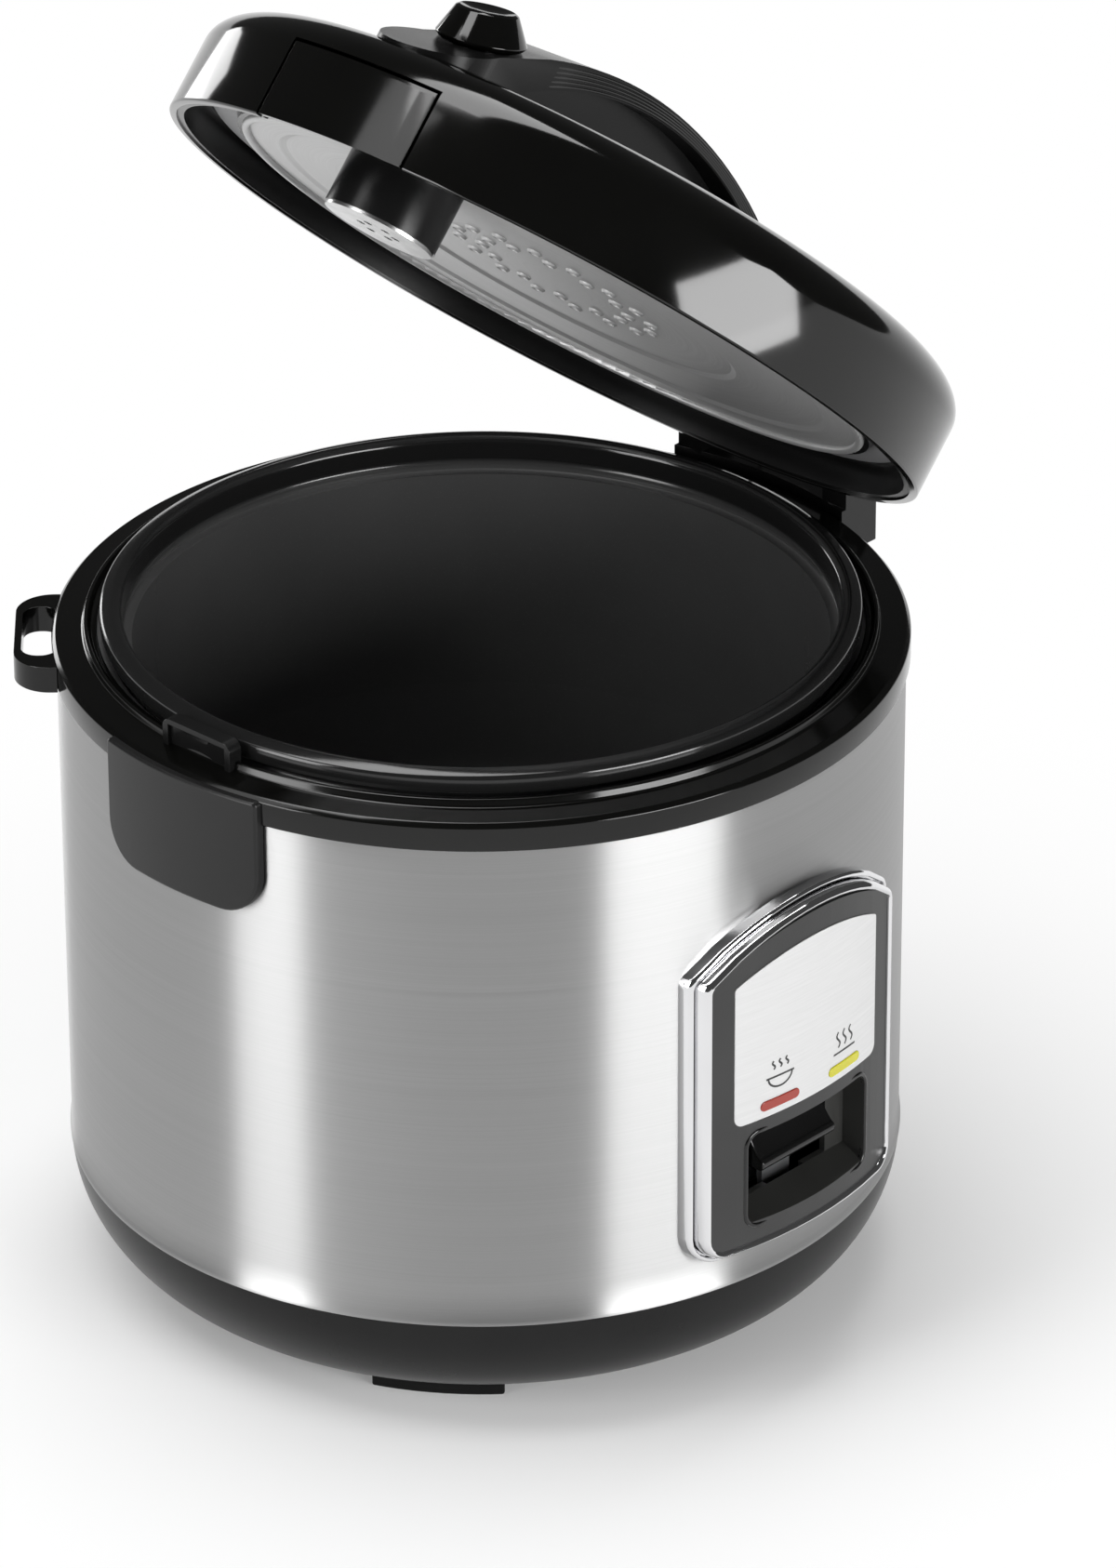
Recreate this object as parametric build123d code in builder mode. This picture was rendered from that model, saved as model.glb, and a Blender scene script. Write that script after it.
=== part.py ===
"""Jar rice cooker with a hinged lid, standing with its lid half open.

Millimetres, +Z up. The origin is on the body axis at the table. The control panel
faces -Y, the lid latch is at -X and the lid hinge at +X, with its axis along Y.
"""
import os
from math import cos, radians, sin

from build123d import *

os.makedirs("parts", exist_ok=True)

# Driving dimensions of the body
body_radius = 125.0  # outside of the steel wrap
wrap_bottom = 39.6  # lower edge of the wrap above the table
ring_bottom = 197.0  # lower edge of the upper ring's band
foot_height = 3.5  # gap between the table and the base's floor
liner_floor = 60.0  # underside of the inner case
sheet = 0.6  # steel wrap
liner_sheet = 0.8  # inner case and brackets are thicker
wall = 2.5  # moulded walls

# Driving dimensions of the pot
ring_width = 13.0  # from the pot's rim to the outside of the wrap
pot_rim_radius = body_radius - ring_width
pot_rim_top = 215.0
pot_floor = 82.0
pot_sheet = 1.6

# Driving dimensions of the lid, measured above its rim plane when closed
lid_inset = 2.5  # the lid's skirt stands inside the wrap's outline
lid_radius = body_radius - lid_inset
lid_seat = 207.0  # height of the rim plane when closed
lid_skirt = 22.3
lid_dome = 44.0
lid_open = 42.75  # degrees
hinge_reach = 5.5  # the hinge axis lies outside the wrap
hinge_x = body_radius + hinge_reach
hinge_z = 218.6
vent_edge = 41.0  # from the skirt to the steam vent's axis
vent_x = vent_edge - lid_radius
cap_lean = 23.5  # degrees, the slope that the steam cap stands on

# Driving dimensions of the control panel
panel_half = 42.9
panel_bottom = 51.5
panel_side = 147.0
panel_peak = 163.7
panel_proud = 7.0  # label face above the wrap

# Clearances
moving_gap = 0.4
pin_gap = 0.05
seam_gap = 0.7
seat_gap = 0.3


# Shared outlines


def turned_face(points, plane=Plane.XZ):
    """A closed straight-sided section in the given plane."""
    with BuildSketch(plane) as section:
        with BuildLine():
            Polyline(*points, close=True)
        make_face()
    return section.sketch


def ring_face(outer, inner, height=0.0):
    """A flat ring around the body axis."""
    with BuildSketch(Plane.XY.offset(height)) as ring:
        Circle(outer)
        Circle(inner, mode=Mode.SUBTRACT)
    return ring.sketch


def sector_face(outer, inner, centre, half, height=0.0):
    """A piece of a flat ring, half its angle to each side of the centre angle."""
    plane = Plane.XY.offset(height)
    start = centre - half
    with BuildSketch(plane) as sector:
        with BuildLine():
            far = CenterArc((0, 0), outer, start, 2 * half)
            near = CenterArc((0, 0), inner, start, 2 * half)
            Line(far @ 0, near @ 0)
            Line(far @ 1, near @ 1)
        make_face()
    return sector.sketch


def arched_face(half, bottom, side, peak, corner):
    """An upright panel outline with an arched top and rounded lower corners."""
    with BuildSketch(Plane.XZ) as outline:
        with BuildLine():
            ThreePointArc((-half, side), (0, peak), (half, side))
            Polyline((half, side), (half, bottom), (-half, bottom), (-half, side))
        make_face()
        fillet(outline.vertices().group_by(Axis.Y)[0], radius=corner)
        fillet(outline.vertices().group_by(Axis.Y)[-1], radius=corner / 2)
    return outline.sketch


# Base: a moulded bowl whose wall is one large round, with posts that carry the inner case

base_radius = body_radius + 0.2
bowl = wrap_bottom - foot_height
floor_radius = base_radius - bowl
floor_opening = floor_radius - 19.0
lip_radius = body_radius - sheet - 0.1
lip_top = wrap_bottom + 8.0
post_radius = floor_radius + 3.0
post_angles = (45, 135, 225, 315)
boss_ring = floor_radius - 13.0
screw_hole = 1.6


def bowl_face(inset, top):
    """Filled half section of the bowl, its wall moved inwards by the inset."""
    with BuildSketch(Plane.XZ) as section:
        with BuildLine():
            round_wall = CenterArc((floor_radius, wrap_bottom), bowl - inset, 270, 90)
            Polyline(
                round_wall @ 1, (floor_radius + bowl - inset, top), (0, top),
                (0, foot_height + inset), round_wall @ 0,
            )
        make_face()
    return section.sketch


with BuildPart() as base_shell:
    revolve(bowl_face(0, wrap_bottom))
    with BuildSketch(Plane.XY.offset(wrap_bottom)):
        Circle(lip_radius)
    extrude(amount=lip_top - wrap_bottom)
    revolve(bowl_face(wall, lip_top), mode=Mode.SUBTRACT)
    with BuildSketch(Plane.XY.offset(foot_height)):
        Circle(floor_opening)
    extrude(amount=2 * wall, mode=Mode.SUBTRACT)
    with BuildSketch(Plane.XY.offset(foot_height + wall / 2)):
        with PolarLocations(post_radius, len(post_angles), start_angle=post_angles[0]):
            Circle(5.0)
    extrude(amount=liner_floor - foot_height - wall / 2)
    with BuildSketch(Plane.XY.offset(foot_height + wall / 2)):
        with PolarLocations(boss_ring, 4, start_angle=0):
            Circle(4.0)
    extrude(amount=10.0)
    with BuildSketch(Plane.XY.offset(foot_height)):
        with PolarLocations(boss_ring, 4, start_angle=0):
            Circle(screw_hole)
    extrude(amount=10.0, mode=Mode.SUBTRACT)
    with BuildSketch(Plane.XY.offset(liner_floor)):
        with PolarLocations(post_radius, len(post_angles), start_angle=post_angles[0]):
            Circle(screw_hole)
    extrude(amount=-12.0, mode=Mode.SUBTRACT)
base_shell.part.label = "base_shell"
export_step(base_shell.part, "parts/base_shell.step")


# Bottom plate: a sheet disc with cooling slots, screwed under the base's floor

plate_sheet = 1.3
plate_radius = floor_radius - 7.0
plate_bottom = foot_height - plate_sheet

with BuildPart() as bottom_plate:
    with BuildSketch(Plane.XY.offset(plate_bottom)):
        Circle(plate_radius)
        with PolarLocations(plate_radius * 0.62, 20):
            SlotOverall(22, 4, mode=Mode.SUBTRACT)
        with PolarLocations(plate_radius * 0.26, 10):
            SlotOverall(16, 4, mode=Mode.SUBTRACT)
        with PolarLocations(boss_ring, 4):
            Circle(screw_hole + 0.2, mode=Mode.SUBTRACT)
    extrude(amount=plate_sheet)
bottom_plate.part.label = "bottom_plate"
export_step(bottom_plate.part, "parts/bottom_plate.step")


# Base screws: four pan heads under the bottom plate


def screws(head_plane, spots, head, shank, head_height, length):
    """Pan head screws whose heads sit under a plane, with the shanks along its normal."""
    with BuildPart() as group:
        for spot in spots:
            with BuildSketch(head_plane):
                with Locations(spot):
                    Circle(head)
            extrude(amount=-head_height)
            with BuildSketch(head_plane):
                with Locations(spot):
                    Circle(shank)
            extrude(amount=length)
    return group.part


def ring_spots(radius, angles):
    """Points around a ring."""
    return [(radius * cos(radians(a)), radius * sin(radians(a))) for a in angles]


screw_shank = 1.5
base_head = 3.2
base_head_height = 1.4
base_screw_length = 9.0

with BuildPart() as base_screws:
    plate_face = Plane.XY.offset(plate_bottom)
    base_spots = ring_spots(boss_ring, (0, 90, 180, 270))
    add(screws(plate_face, base_spots, base_head, screw_shank, base_head_height, base_screw_length))
base_screws.part.label = "base_screws"
export_step(base_screws.part, "parts/base_screws.step")


# Feet: four low arcs seated against the bowl

foot_outer = floor_radius + 10.9
foot_width = 9.0
foot_angle = 215  # the foot between the latch and the panel
foot_half = 11.5

with BuildPart() as feet:
    for quarter in range(4):
        foot_centre = foot_angle + 90 * quarter
        extrude(sector_face(foot_outer, foot_outer - foot_width, foot_centre, foot_half), amount=12)
    revolve(bowl_face(0, wrap_bottom), mode=Mode.SUBTRACT)
feet.part.label = "feet"
export_step(feet.part, "parts/feet.step")


# Steel wrap: rolled sheet with a bead along its lower edge, open behind the panel and the inlet

wrap_inner = body_radius - sheet
wrap_top = ring_bottom + 2.2
bead = 0.5
window_half = panel_half - 9.0
inlet_half = 16.5
inlet_low = 51.0
inlet_high = 75.0

with BuildPart() as steel_wrap:
    revolve(turned_face([
        (wrap_inner, wrap_bottom), (body_radius + bead, wrap_bottom), (body_radius + bead, wrap_bottom + 1.4),
        (body_radius, wrap_bottom + 2.0), (body_radius, wrap_top), (wrap_inner, wrap_top),
    ]))
    with BuildSketch(Plane.XZ):
        with Locations((0, (panel_bottom + panel_side) / 2)):
            RectangleRounded(2 * window_half, panel_side - panel_bottom - 13, 4)
    extrude(amount=body_radius + 5, mode=Mode.SUBTRACT)
    with BuildSketch(Plane.XZ):
        with Locations((0, (inlet_low + inlet_high) / 2)):
            Rectangle(2 * inlet_half, inlet_high - inlet_low)
    extrude(amount=-body_radius - 5, mode=Mode.SUBTRACT)
steel_wrap.part.label = "steel_wrap"
export_step(steel_wrap.part, "parts/steel_wrap.step")


# Upper ring: a band over the wrap, a sloping top, a centring ridge for the lid and an inner lip at the pot

band_radius = body_radius + 1.3
band_top = lid_seat - 1.2
ring_under = ring_bottom + 6.6
ring_inner = pot_rim_radius + 0.9
ridge_outer = lid_radius - 5.3
groove = 0.15
latch_half_angle = 13.7
apron_thick = 3.6
latch_bulge = apron_thick  # the band stands out flush with the apron


def ring_section():
    """Half section of the upper ring, with the groove that takes the wrap's top edge."""
    return turned_face([
        (ring_inner, ring_under), (ring_inner, lid_seat), (ridge_outer - 2.6, lid_seat + 0.4),
        (ridge_outer - 1.5, lid_seat + 1.8), (ridge_outer - 0.4, lid_seat + 1.8),
        (ridge_outer, lid_seat - 0.5), (band_radius - 1.3, band_top), (band_radius, band_top - 1.3),
        (band_radius, ring_bottom), (body_radius + groove, ring_bottom), (body_radius + groove, wrap_top),
        (wrap_inner - groove, wrap_top), (wrap_inner - groove, ring_bottom + 0.5),
        (wrap_inner - wall, ring_bottom + 0.5),
        (wrap_inner - wall, ring_under),
    ])


with BuildPart() as upper_ring:
    revolve(ring_section())
    extrude(
        sector_face(body_radius + latch_bulge, band_radius - 1.2, 180, latch_half_angle, ring_bottom),
        amount=band_top - ring_bottom - 0.8,
    )
upper_ring.part.label = "upper_ring"
export_step(upper_ring.part, "parts/upper_ring.step")


# Latch apron: a satin tongue that hangs from the ring over the wrap on the latch side

apron_half = 30.0
apron_drop = 30.0
apron_bottom = ring_bottom - apron_drop
apron_corner = 13.0

with BuildPart() as latch_apron:
    with BuildSketch(Plane.YZ) as apron_outline:
        with Locations((0, (apron_bottom + ring_bottom) / 2)):
            Rectangle(2 * apron_half, ring_bottom - apron_bottom)
        fillet(apron_outline.vertices().group_by(Axis.Y)[0], radius=apron_corner)
    extrude(amount=-body_radius - 2 * apron_thick)
    extrude(ring_face(body_radius + apron_thick, body_radius), amount=2 * ring_bottom, mode=Mode.INTERSECT)
latch_apron.part.label = "latch_apron"
export_step(latch_apron.part, "parts/latch_apron.step")


# Lid catch: an upright frame on the ring, with the tongue that the lid's hook goes under

catch_back = pot_rim_radius + 1.6
catch_face = catch_back + 3.4
catch_rib = catch_face + 1.4
catch_reach = catch_face + 1.3
catch_half = 13.5
catch_top = pot_rim_top
tongue_low = lid_seat + 5.0
tongue_high = lid_seat + 7.2
tongue_half = 6.0

with BuildPart() as lid_catch:
    with BuildSketch(Plane.YZ.offset(-catch_back)) as catch_outline:
        with Locations((0, (catch_top + band_top) / 2)):
            Rectangle(2 * catch_half, catch_top - band_top)
        fillet(catch_outline.vertices().group_by(Axis.Y)[-1], radius=3)
    extrude(amount=catch_back - catch_rib)
    with BuildSketch(Plane.YZ.offset(-catch_rib)):
        with Locations((0, (catch_top - 1.8 + band_top - 4) / 2)):
            Rectangle(2 * catch_half - 4.4, catch_top - 1.8 - band_top + 4)
    extrude(amount=catch_rib - catch_face, mode=Mode.SUBTRACT)
    with BuildSketch(Plane.YZ.offset(-catch_face)):
        with BuildLine():
            Polyline(
                (-tongue_half, tongue_high), (tongue_half, tongue_high), (tongue_half - 1.6, tongue_low),
                (1.6 - tongue_half, tongue_low), close=True,
            )
        make_face()
    extrude(amount=catch_face - catch_reach)
    revolve(ring_section(), mode=Mode.SUBTRACT)
lid_catch.part.label = "lid_catch"
export_step(lid_catch.part, "parts/lid_catch.step")


# Spatula holder: a flat loop on the band between the latch and the back

loop_angle = 134.5
loop_depth = 10.8
loop_sunk = 2.0  # the hole runs this far inside the band, which closes the loop
loop_reach = band_radius + loop_depth
loop_half = 23.7
loop_corner = 11.0
loop_wall = 2.2
loop_hole_half = 15.5
loop_hole_corner = 5.0
loop_inside = band_radius - loop_sunk
loop_outside = loop_reach - loop_wall
loop_low = ring_bottom - 0.8
loop_plane = Plane.XY.offset(loop_low).rotated((0, 0, loop_angle))

with BuildPart() as spatula_holder:
    with BuildSketch(loop_plane) as loop_outline:
        with Locations((loop_reach - 15, 0)):
            Rectangle(30, 2 * loop_half)
        fillet(loop_outline.vertices().group_by(Axis.X)[-1], radius=loop_corner)
        with Locations(((loop_outside + loop_inside) / 2, 0)):
            RectangleRounded(loop_outside - loop_inside, 2 * loop_hole_half, loop_hole_corner, mode=Mode.SUBTRACT)
        Circle(band_radius, mode=Mode.SUBTRACT)
    extrude(amount=band_top - loop_low - 1.4)
spatula_holder.part.label = "spatula_holder"
export_step(spatula_holder.part, "parts/spatula_holder.step")


# Hinge bracket: a block on the ring's band with two ears that hold the hinge pin

hinge_half = 34.0
ear_inner = 24.5
ear_radius = 8.0
pin_radius = 2.5
block_outer = hinge_x + 7.0
block_top = lid_seat + 1.0
block_bottom = ring_bottom - 4.0

with BuildPart() as hinge_bracket:
    with BuildSketch(Plane.XY.offset(block_bottom)):
        with Locations((block_outer - 15, 0)):
            Rectangle(30, 2 * hinge_half)
        Circle(band_radius, mode=Mode.SUBTRACT)
    extrude(amount=block_top - block_bottom)
    for side in (-1, 1):
        with BuildSketch(Plane.XZ.offset(-side * (ear_inner + hinge_half) / 2)):
            with Locations((hinge_x, hinge_z)):
                Circle(ear_radius)
            with Locations((hinge_x, (hinge_z + lid_seat) / 2)):
                Rectangle(2 * ear_radius - 2, hinge_z - lid_seat)
        extrude(amount=(hinge_half - ear_inner) / 2, both=True)
    with BuildSketch(Plane.XZ):
        with Locations((hinge_x, hinge_z)):
            Circle(pin_radius + 0.02)
    extrude(amount=2 * hinge_half, both=True, mode=Mode.SUBTRACT)
hinge_bracket.part.label = "hinge_bracket"
export_step(hinge_bracket.part, "parts/hinge_bracket.step")


# Hinge pin: a steel rod with a head at each end

with BuildPart() as hinge_pin:
    with BuildSketch(Plane.XZ):
        with Locations((hinge_x, hinge_z)):
            Circle(pin_radius)
    extrude(amount=hinge_half, both=True)
    for side in (-1, 1):
        with BuildSketch(Plane.XZ.offset(side * hinge_half)):
            with Locations((hinge_x, hinge_z)):
                Circle(pin_radius + 1.2)
        extrude(amount=side * 1.0)
hinge_pin.part.label = "hinge_pin"
export_step(hinge_pin.part, "parts/hinge_pin.step")


# Springs: round wire wound in an open helix


def coil(start, direction, length, radius, wire, turns):
    """A helical spring from a start point along a direction."""
    with BuildPart() as spring:
        with BuildLine() as path:
            Helix(length / turns, length, radius, center=start, direction=direction)
        with BuildSketch(Plane(path.line @ 0, z_dir=path.line % 0)):
            RegularPolygon(wire / 2, 6)
        sweep(path=path.line, is_frenet=True)
    per_turn = 20
    count = int(turns * per_turn)
    points = [path.line @ (i / count) for i in range(count + 1)]
    pairs = [(a, b) for i, a in enumerate(points) for b in points[i + per_turn // 2:]]
    least = min((a - b).length for a, b in pairs) - wire
    print(f"least gap between turns {least:.2f} mm")
    return spring.part


# Lid spring: torsion coil on the pin between the lid's two arms, with a leg down to the block

spring_half = 11.0
spring_radius = 5.0
spring_wire = 1.6

with BuildPart() as lid_spring:
    coil_start = (hinge_x, -spring_half, hinge_z)
    add(coil(coil_start, (0, 1, 0), 2 * spring_half, spring_radius, spring_wire, 6.25))
    with BuildSketch(Plane.XY.offset(block_top)):
        with Locations((hinge_x + spring_radius, spring_half)):
            RegularPolygon(spring_wire / 2, 6)
    extrude(amount=hinge_z - block_top + spring_wire / 4)
lid_spring.part.label = "lid_spring"
export_step(lid_spring.part, "parts/lid_spring.step")


# Inner case: a drawn sheet cup that hangs in the ring and carries the heater

liner_radius = pot_rim_radius - 1.5
liner_inner = liner_radius - liner_sheet
liner_opening = 45.0

with BuildPart() as inner_liner:
    revolve(turned_face([
        (wrap_inner - 7, ring_under - liner_sheet), (wrap_inner - 7, ring_under), (liner_inner, ring_under),
        (liner_inner, liner_floor + liner_sheet), (liner_opening, liner_floor + liner_sheet),
        (liner_opening, liner_floor), (liner_radius, liner_floor), (liner_radius, ring_under - liner_sheet),
    ]))
    with BuildSketch(Plane.XY.offset(liner_floor)):
        with PolarLocations(post_radius, len(post_angles), start_angle=post_angles[0]):
            Circle(screw_hole)
    extrude(amount=liner_sheet, mode=Mode.SUBTRACT)
inner_liner.part.label = "inner_liner"
export_step(inner_liner.part, "parts/inner_liner.step")


# Case screws: from inside the case down into the base's posts

case_head = 3.4
case_head_height = 1.6
case_screw_length = 11.0

with BuildPart() as case_screws:
    case_floor = Plane((0, 0, liner_floor + liner_sheet), x_dir=(1, 0, 0), z_dir=(0, 0, -1))
    case_spots = ring_spots(post_radius, post_angles)
    add(screws(case_floor, case_spots, case_head, screw_shank, case_head_height, case_screw_length))
case_screws.part.label = "case_screws"
export_step(case_screws.part, "parts/case_screws.step")


# Heating plate: cast disc with the tubular element in a raised ring underneath

plate_top = pot_floor - seat_gap
plate_under = pot_floor - 12.0
heater_inset = 26.0
heater_radius = pot_rim_radius - heater_inset
sensor_hole = 20.5
element_low = plate_under - 4.0
element_mid = heater_radius - 19.0  # middle of the ring that holds the element
element_half = 6.0
element_flare = 3.0

with BuildPart() as heating_plate:
    revolve(turned_face([
        (sensor_hole, plate_under), (element_mid - element_half - element_flare, plate_under),
        (element_mid - element_half, element_low), (element_mid + element_half, element_low),
        (element_mid + element_half + element_flare, plate_under), (heater_radius, plate_under),
        (heater_radius, plate_top - 4), (heater_radius - 4, plate_top), (sensor_hole, plate_top),
    ]))
heating_plate.part.label = "heating_plate"
export_step(heating_plate.part, "parts/heating_plate.step")


# Heater terminals: two studs out of the element ring

with BuildPart() as heater_terminals:
    with BuildSketch(Plane.XY.offset(element_low)):
        for spot in ring_spots(element_mid, (55, 75)):
            with Locations(spot):
                Circle(2.2)
    extrude(amount=-(element_low - liner_floor - liner_sheet - 1.0))
heater_terminals.part.label = "heater_terminals"
export_step(heater_terminals.part, "parts/heater_terminals.step")


# Heater supports: ceramic spacers between the case floor and the heating plate

with BuildPart() as heater_supports:
    with BuildSketch(Plane.XY.offset(liner_floor + liner_sheet)):
        with PolarLocations(heater_radius - 6, 3, start_angle=30):
            Circle(4.0)
    extrude(amount=plate_under - liner_floor - liner_sheet)
heater_supports.part.label = "heater_supports"
export_step(heater_supports.part, "parts/heater_supports.step")


# Sensor bracket: a bent strap under the case floor that carries the thermostat

strap = 1.4
strap_drop = 10.0
strap_low = liner_floor - strap_drop
strap_reach = 50.0
strap_tab = 9.0
strap_half = 12.0
rod_radius = 3.0

with BuildPart() as sensor_bracket:
    with BuildSketch(Plane.XZ) as strap_outline:
        with BuildLine() as strap_line:
            Polyline(
                (-strap_reach - strap_tab, liner_floor - strap / 2), (-strap_reach, liner_floor - strap / 2),
                (-strap_reach + 6, strap_low - strap / 2), (strap_reach - 6, strap_low - strap / 2),
                (strap_reach, liner_floor - strap / 2), (strap_reach + strap_tab, liner_floor - strap / 2),
            )
            offset(amount=strap / 2, kind=Kind.INTERSECTION, side=Side.BOTH)
        make_face()
    extrude(amount=strap_half, both=True)
    with BuildSketch(Plane.XY.offset(strap_low)):
        Circle(rod_radius + moving_gap)
    extrude(amount=2 * strap, both=True, mode=Mode.SUBTRACT)
sensor_bracket.part.label = "sensor_bracket"
export_step(sensor_bracket.part, "parts/sensor_bracket.step")


# Thermostat: a cup with a ferrite crown on the strap, and a sensing cap against the pot

cup_radius = 14.0
cup_bore = 11.0
cap_thick = 1.7
cup_top = plate_top - cap_thick
cup_roof = cup_top - 1.5
ferrite_radius = 6.0
magnet_low = strap_low + 2.0
magnet_high = magnet_low + 8.0
magnet_lift = 9.8
ferrite_low = magnet_high + magnet_lift + moving_gap

with BuildPart() as thermostat_housing:
    revolve(turned_face([
        (rod_radius + moving_gap, strap_low), (cup_radius + 5, strap_low), (cup_radius + 5, strap_low + 1.5),
        (cup_radius, strap_low + 1.5), (cup_radius, cup_top), (0, cup_top), (0, ferrite_low),
        (ferrite_radius, ferrite_low), (ferrite_radius, cup_roof), (cup_bore, cup_roof),
        (cup_bore, strap_low + 1.5), (rod_radius + moving_gap, strap_low + 1.5),
    ]))
thermostat_housing.part.label = "thermostat_housing"
export_step(thermostat_housing.part, "parts/thermostat_housing.step")

with BuildPart() as thermostat_cap:
    with BuildSketch(Plane.XY.offset(cup_top)):
        Circle(sensor_hole - 3)
    extrude(amount=cap_thick)
    chamfer(thermostat_cap.edges().group_by(Axis.Z)[-1], length=0.6)
thermostat_cap.part.label = "thermostat_cap"
export_step(thermostat_cap.part, "parts/thermostat_cap.step")


# Switch lever: a bent steel strip on a pivot, which lifts the magnet when its paddle goes down

lever_sweep = 8.0  # degrees
lever_half = 6.0
lever_sheet = 2.0
lever_front = 7.7 - body_radius
lever_reach = 47.3  # from the pivot to the front
pivot_y = lever_front + lever_reach
pivot_z = 50.0
lever_inner_low = 35.5
lever_front_low = 46.0
lever_top = 88.0
lever_tail = 6.0
lever_ear = 6.0
lever_web = 8.0
lever_slope = (lever_front_low - lever_inner_low) / (lever_tail - lever_front)
web_low = lever_inner_low + lever_slope * (lever_tail - pivot_y) + lever_sheet / 2  # inside the strip
rod_gap = 1.4  # above the lever's sloping end
rod_end = lever_inner_low + lever_sheet + rod_gap

with BuildPart() as lever_arm:
    with BuildSketch(Plane.YZ):
        with BuildLine():
            Polyline(
                (lever_tail, lever_inner_low), (lever_front, lever_front_low), (lever_front, lever_top),
                (lever_front + lever_sheet, lever_top),
                (lever_front + lever_sheet, lever_front_low + lever_sheet),
                (lever_tail, lever_inner_low + lever_sheet), close=True,
            )
        make_face()
        with Locations((pivot_y, (web_low + pivot_z) / 2)):
            Rectangle(lever_web, pivot_z - web_low)
        with Locations((pivot_y, pivot_z)):
            Circle(lever_ear)
        with Locations((pivot_y, pivot_z)):
            Circle(2.0 + pin_gap, mode=Mode.SUBTRACT)
    extrude(amount=lever_half, both=True)
lever_arm.part.label = "lever_arm"
export_step(lever_arm.part, "parts/lever_arm.step")


# Switch paddle: a glossy wedge with a rounded lower lip, on the front of the lever

paddle_half = 16.0
paddle_lip_y = -body_radius - 1.6
paddle_low = 74.6
paddle_top = 90.0

with BuildPart() as switch_paddle:
    with BuildSketch(Plane.YZ):
        with BuildLine():
            lip = ThreePointArc(
                (paddle_lip_y + 2.0, paddle_low), (paddle_lip_y, paddle_low + 2.0),
                (paddle_lip_y + 1.4, paddle_low + 4.0),
            )
            hollow_middle = (lever_front - 4.4, paddle_low + 8.6)
            hollow = ThreePointArc(lip @ 1, hollow_middle, (lever_front - 2.0, paddle_top))
            Polyline(hollow @ 1, (lever_front, paddle_top), (lever_front, paddle_low), lip @ 0)
        make_face()
    extrude(amount=paddle_half, both=True)
switch_paddle.part.label = "switch_paddle"
export_step(switch_paddle.part, "parts/switch_paddle.step")


# Lever bracket and pivot pin under the case floor

with BuildPart() as lever_bracket:
    with BuildSketch(Plane.XY.offset(liner_floor)):
        with Locations((0, pivot_y)):
            Rectangle(2 * lever_half + 10, 18)
    extrude(amount=-liner_sheet)
    for side in (-1, 1):
        with BuildSketch(Plane.YZ.offset(side * (lever_half + 2.0))):
            with Locations((pivot_y, pivot_z)):
                Circle(5.0)
            with Locations((pivot_y, (pivot_z + liner_floor) / 2)):
                Rectangle(10, liner_floor - pivot_z)
        extrude(amount=liner_sheet, both=True)
    with BuildSketch(Plane.YZ):
        with Locations((pivot_y, pivot_z)):
            Circle(2.02)
    extrude(amount=lever_half + 8, both=True, mode=Mode.SUBTRACT)
lever_bracket.part.label = "lever_bracket"
export_step(lever_bracket.part, "parts/lever_bracket.step")

with BuildPart() as lever_pin:
    with BuildSketch(Plane.YZ):
        with Locations((pivot_y, pivot_z)):
            Circle(2.0)
    extrude(amount=lever_half + 4.5, both=True)
lever_pin.part.label = "lever_pin"
export_step(lever_pin.part, "parts/lever_pin.step")


# Magnet plunger: a magnet disc on a rod that the lever lifts to the ferrite, with its return spring

with BuildPart() as magnet_plunger:
    revolve(turned_face([
        (0, rod_end), (rod_radius, rod_end), (rod_radius, magnet_low), (cup_bore - 0.6, magnet_low),
        (cup_bore - 0.6, magnet_high), (0, magnet_high),
    ]))
magnet_plunger.part.label = "magnet_plunger"
export_step(magnet_plunger.part, "parts/magnet_plunger.step")

with BuildPart() as plunger_spring:
    spring_room = cup_roof - magnet_high
    add(coil((0, 0, magnet_high + 0.8), (0, 0, 1), spring_room - 1.6, 8.4, 1.0, 5))
plunger_spring.part.label = "plunger_spring"
export_step(plunger_spring.part, "parts/plunger_spring.step")


# Electrical pieces under the case floor

micro_y = -38.0
micro_aside = 6.0  # from the lever's edge to the switch's middle
micro_length = 20.0
micro_width = 6.4
micro_height = 16.0
knob_aside = 4.0  # from the switch's middle to its knob
knob_drop = 12.0
knob_radius = 1.6
knob_reach = 1.4

with BuildPart() as micro_switch:
    with BuildSketch(Plane.XY.offset(liner_floor)):
        with Locations((lever_half + micro_aside, micro_y)):
            Rectangle(micro_width, micro_length)
    extrude(amount=-micro_height)
    with BuildSketch(Plane.YZ.offset(lever_half + 2.0)):
        with Locations((micro_y + knob_aside, liner_floor - knob_drop)):
            Circle(knob_radius)
    extrude(amount=knob_reach)
micro_switch.part.label = "micro_switch"
export_step(micro_switch.part, "parts/micro_switch.step")

fuse_gap = 31.0  # inside the element's ring
fuse_x = fuse_gap - element_mid

with BuildPart() as thermal_fuse:
    with BuildSketch(Plane.XZ.offset(-14)):
        with Locations((fuse_x, plate_under - 4)):
            Circle(3.4)
    extrude(amount=13, both=True)
    with BuildSketch(Plane.XY.offset(plate_under)):
        with Locations((fuse_x, 14)):
            Rectangle(9, 8)
    extrude(amount=-5.0)
thermal_fuse.part.label = "thermal_fuse"
export_step(thermal_fuse.part, "parts/thermal_fuse.step")

terminal_y = element_mid + 7.0  # below the heater's terminals

block_length = 36.0
block_width = 16.0
block_height = 13.0

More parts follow.
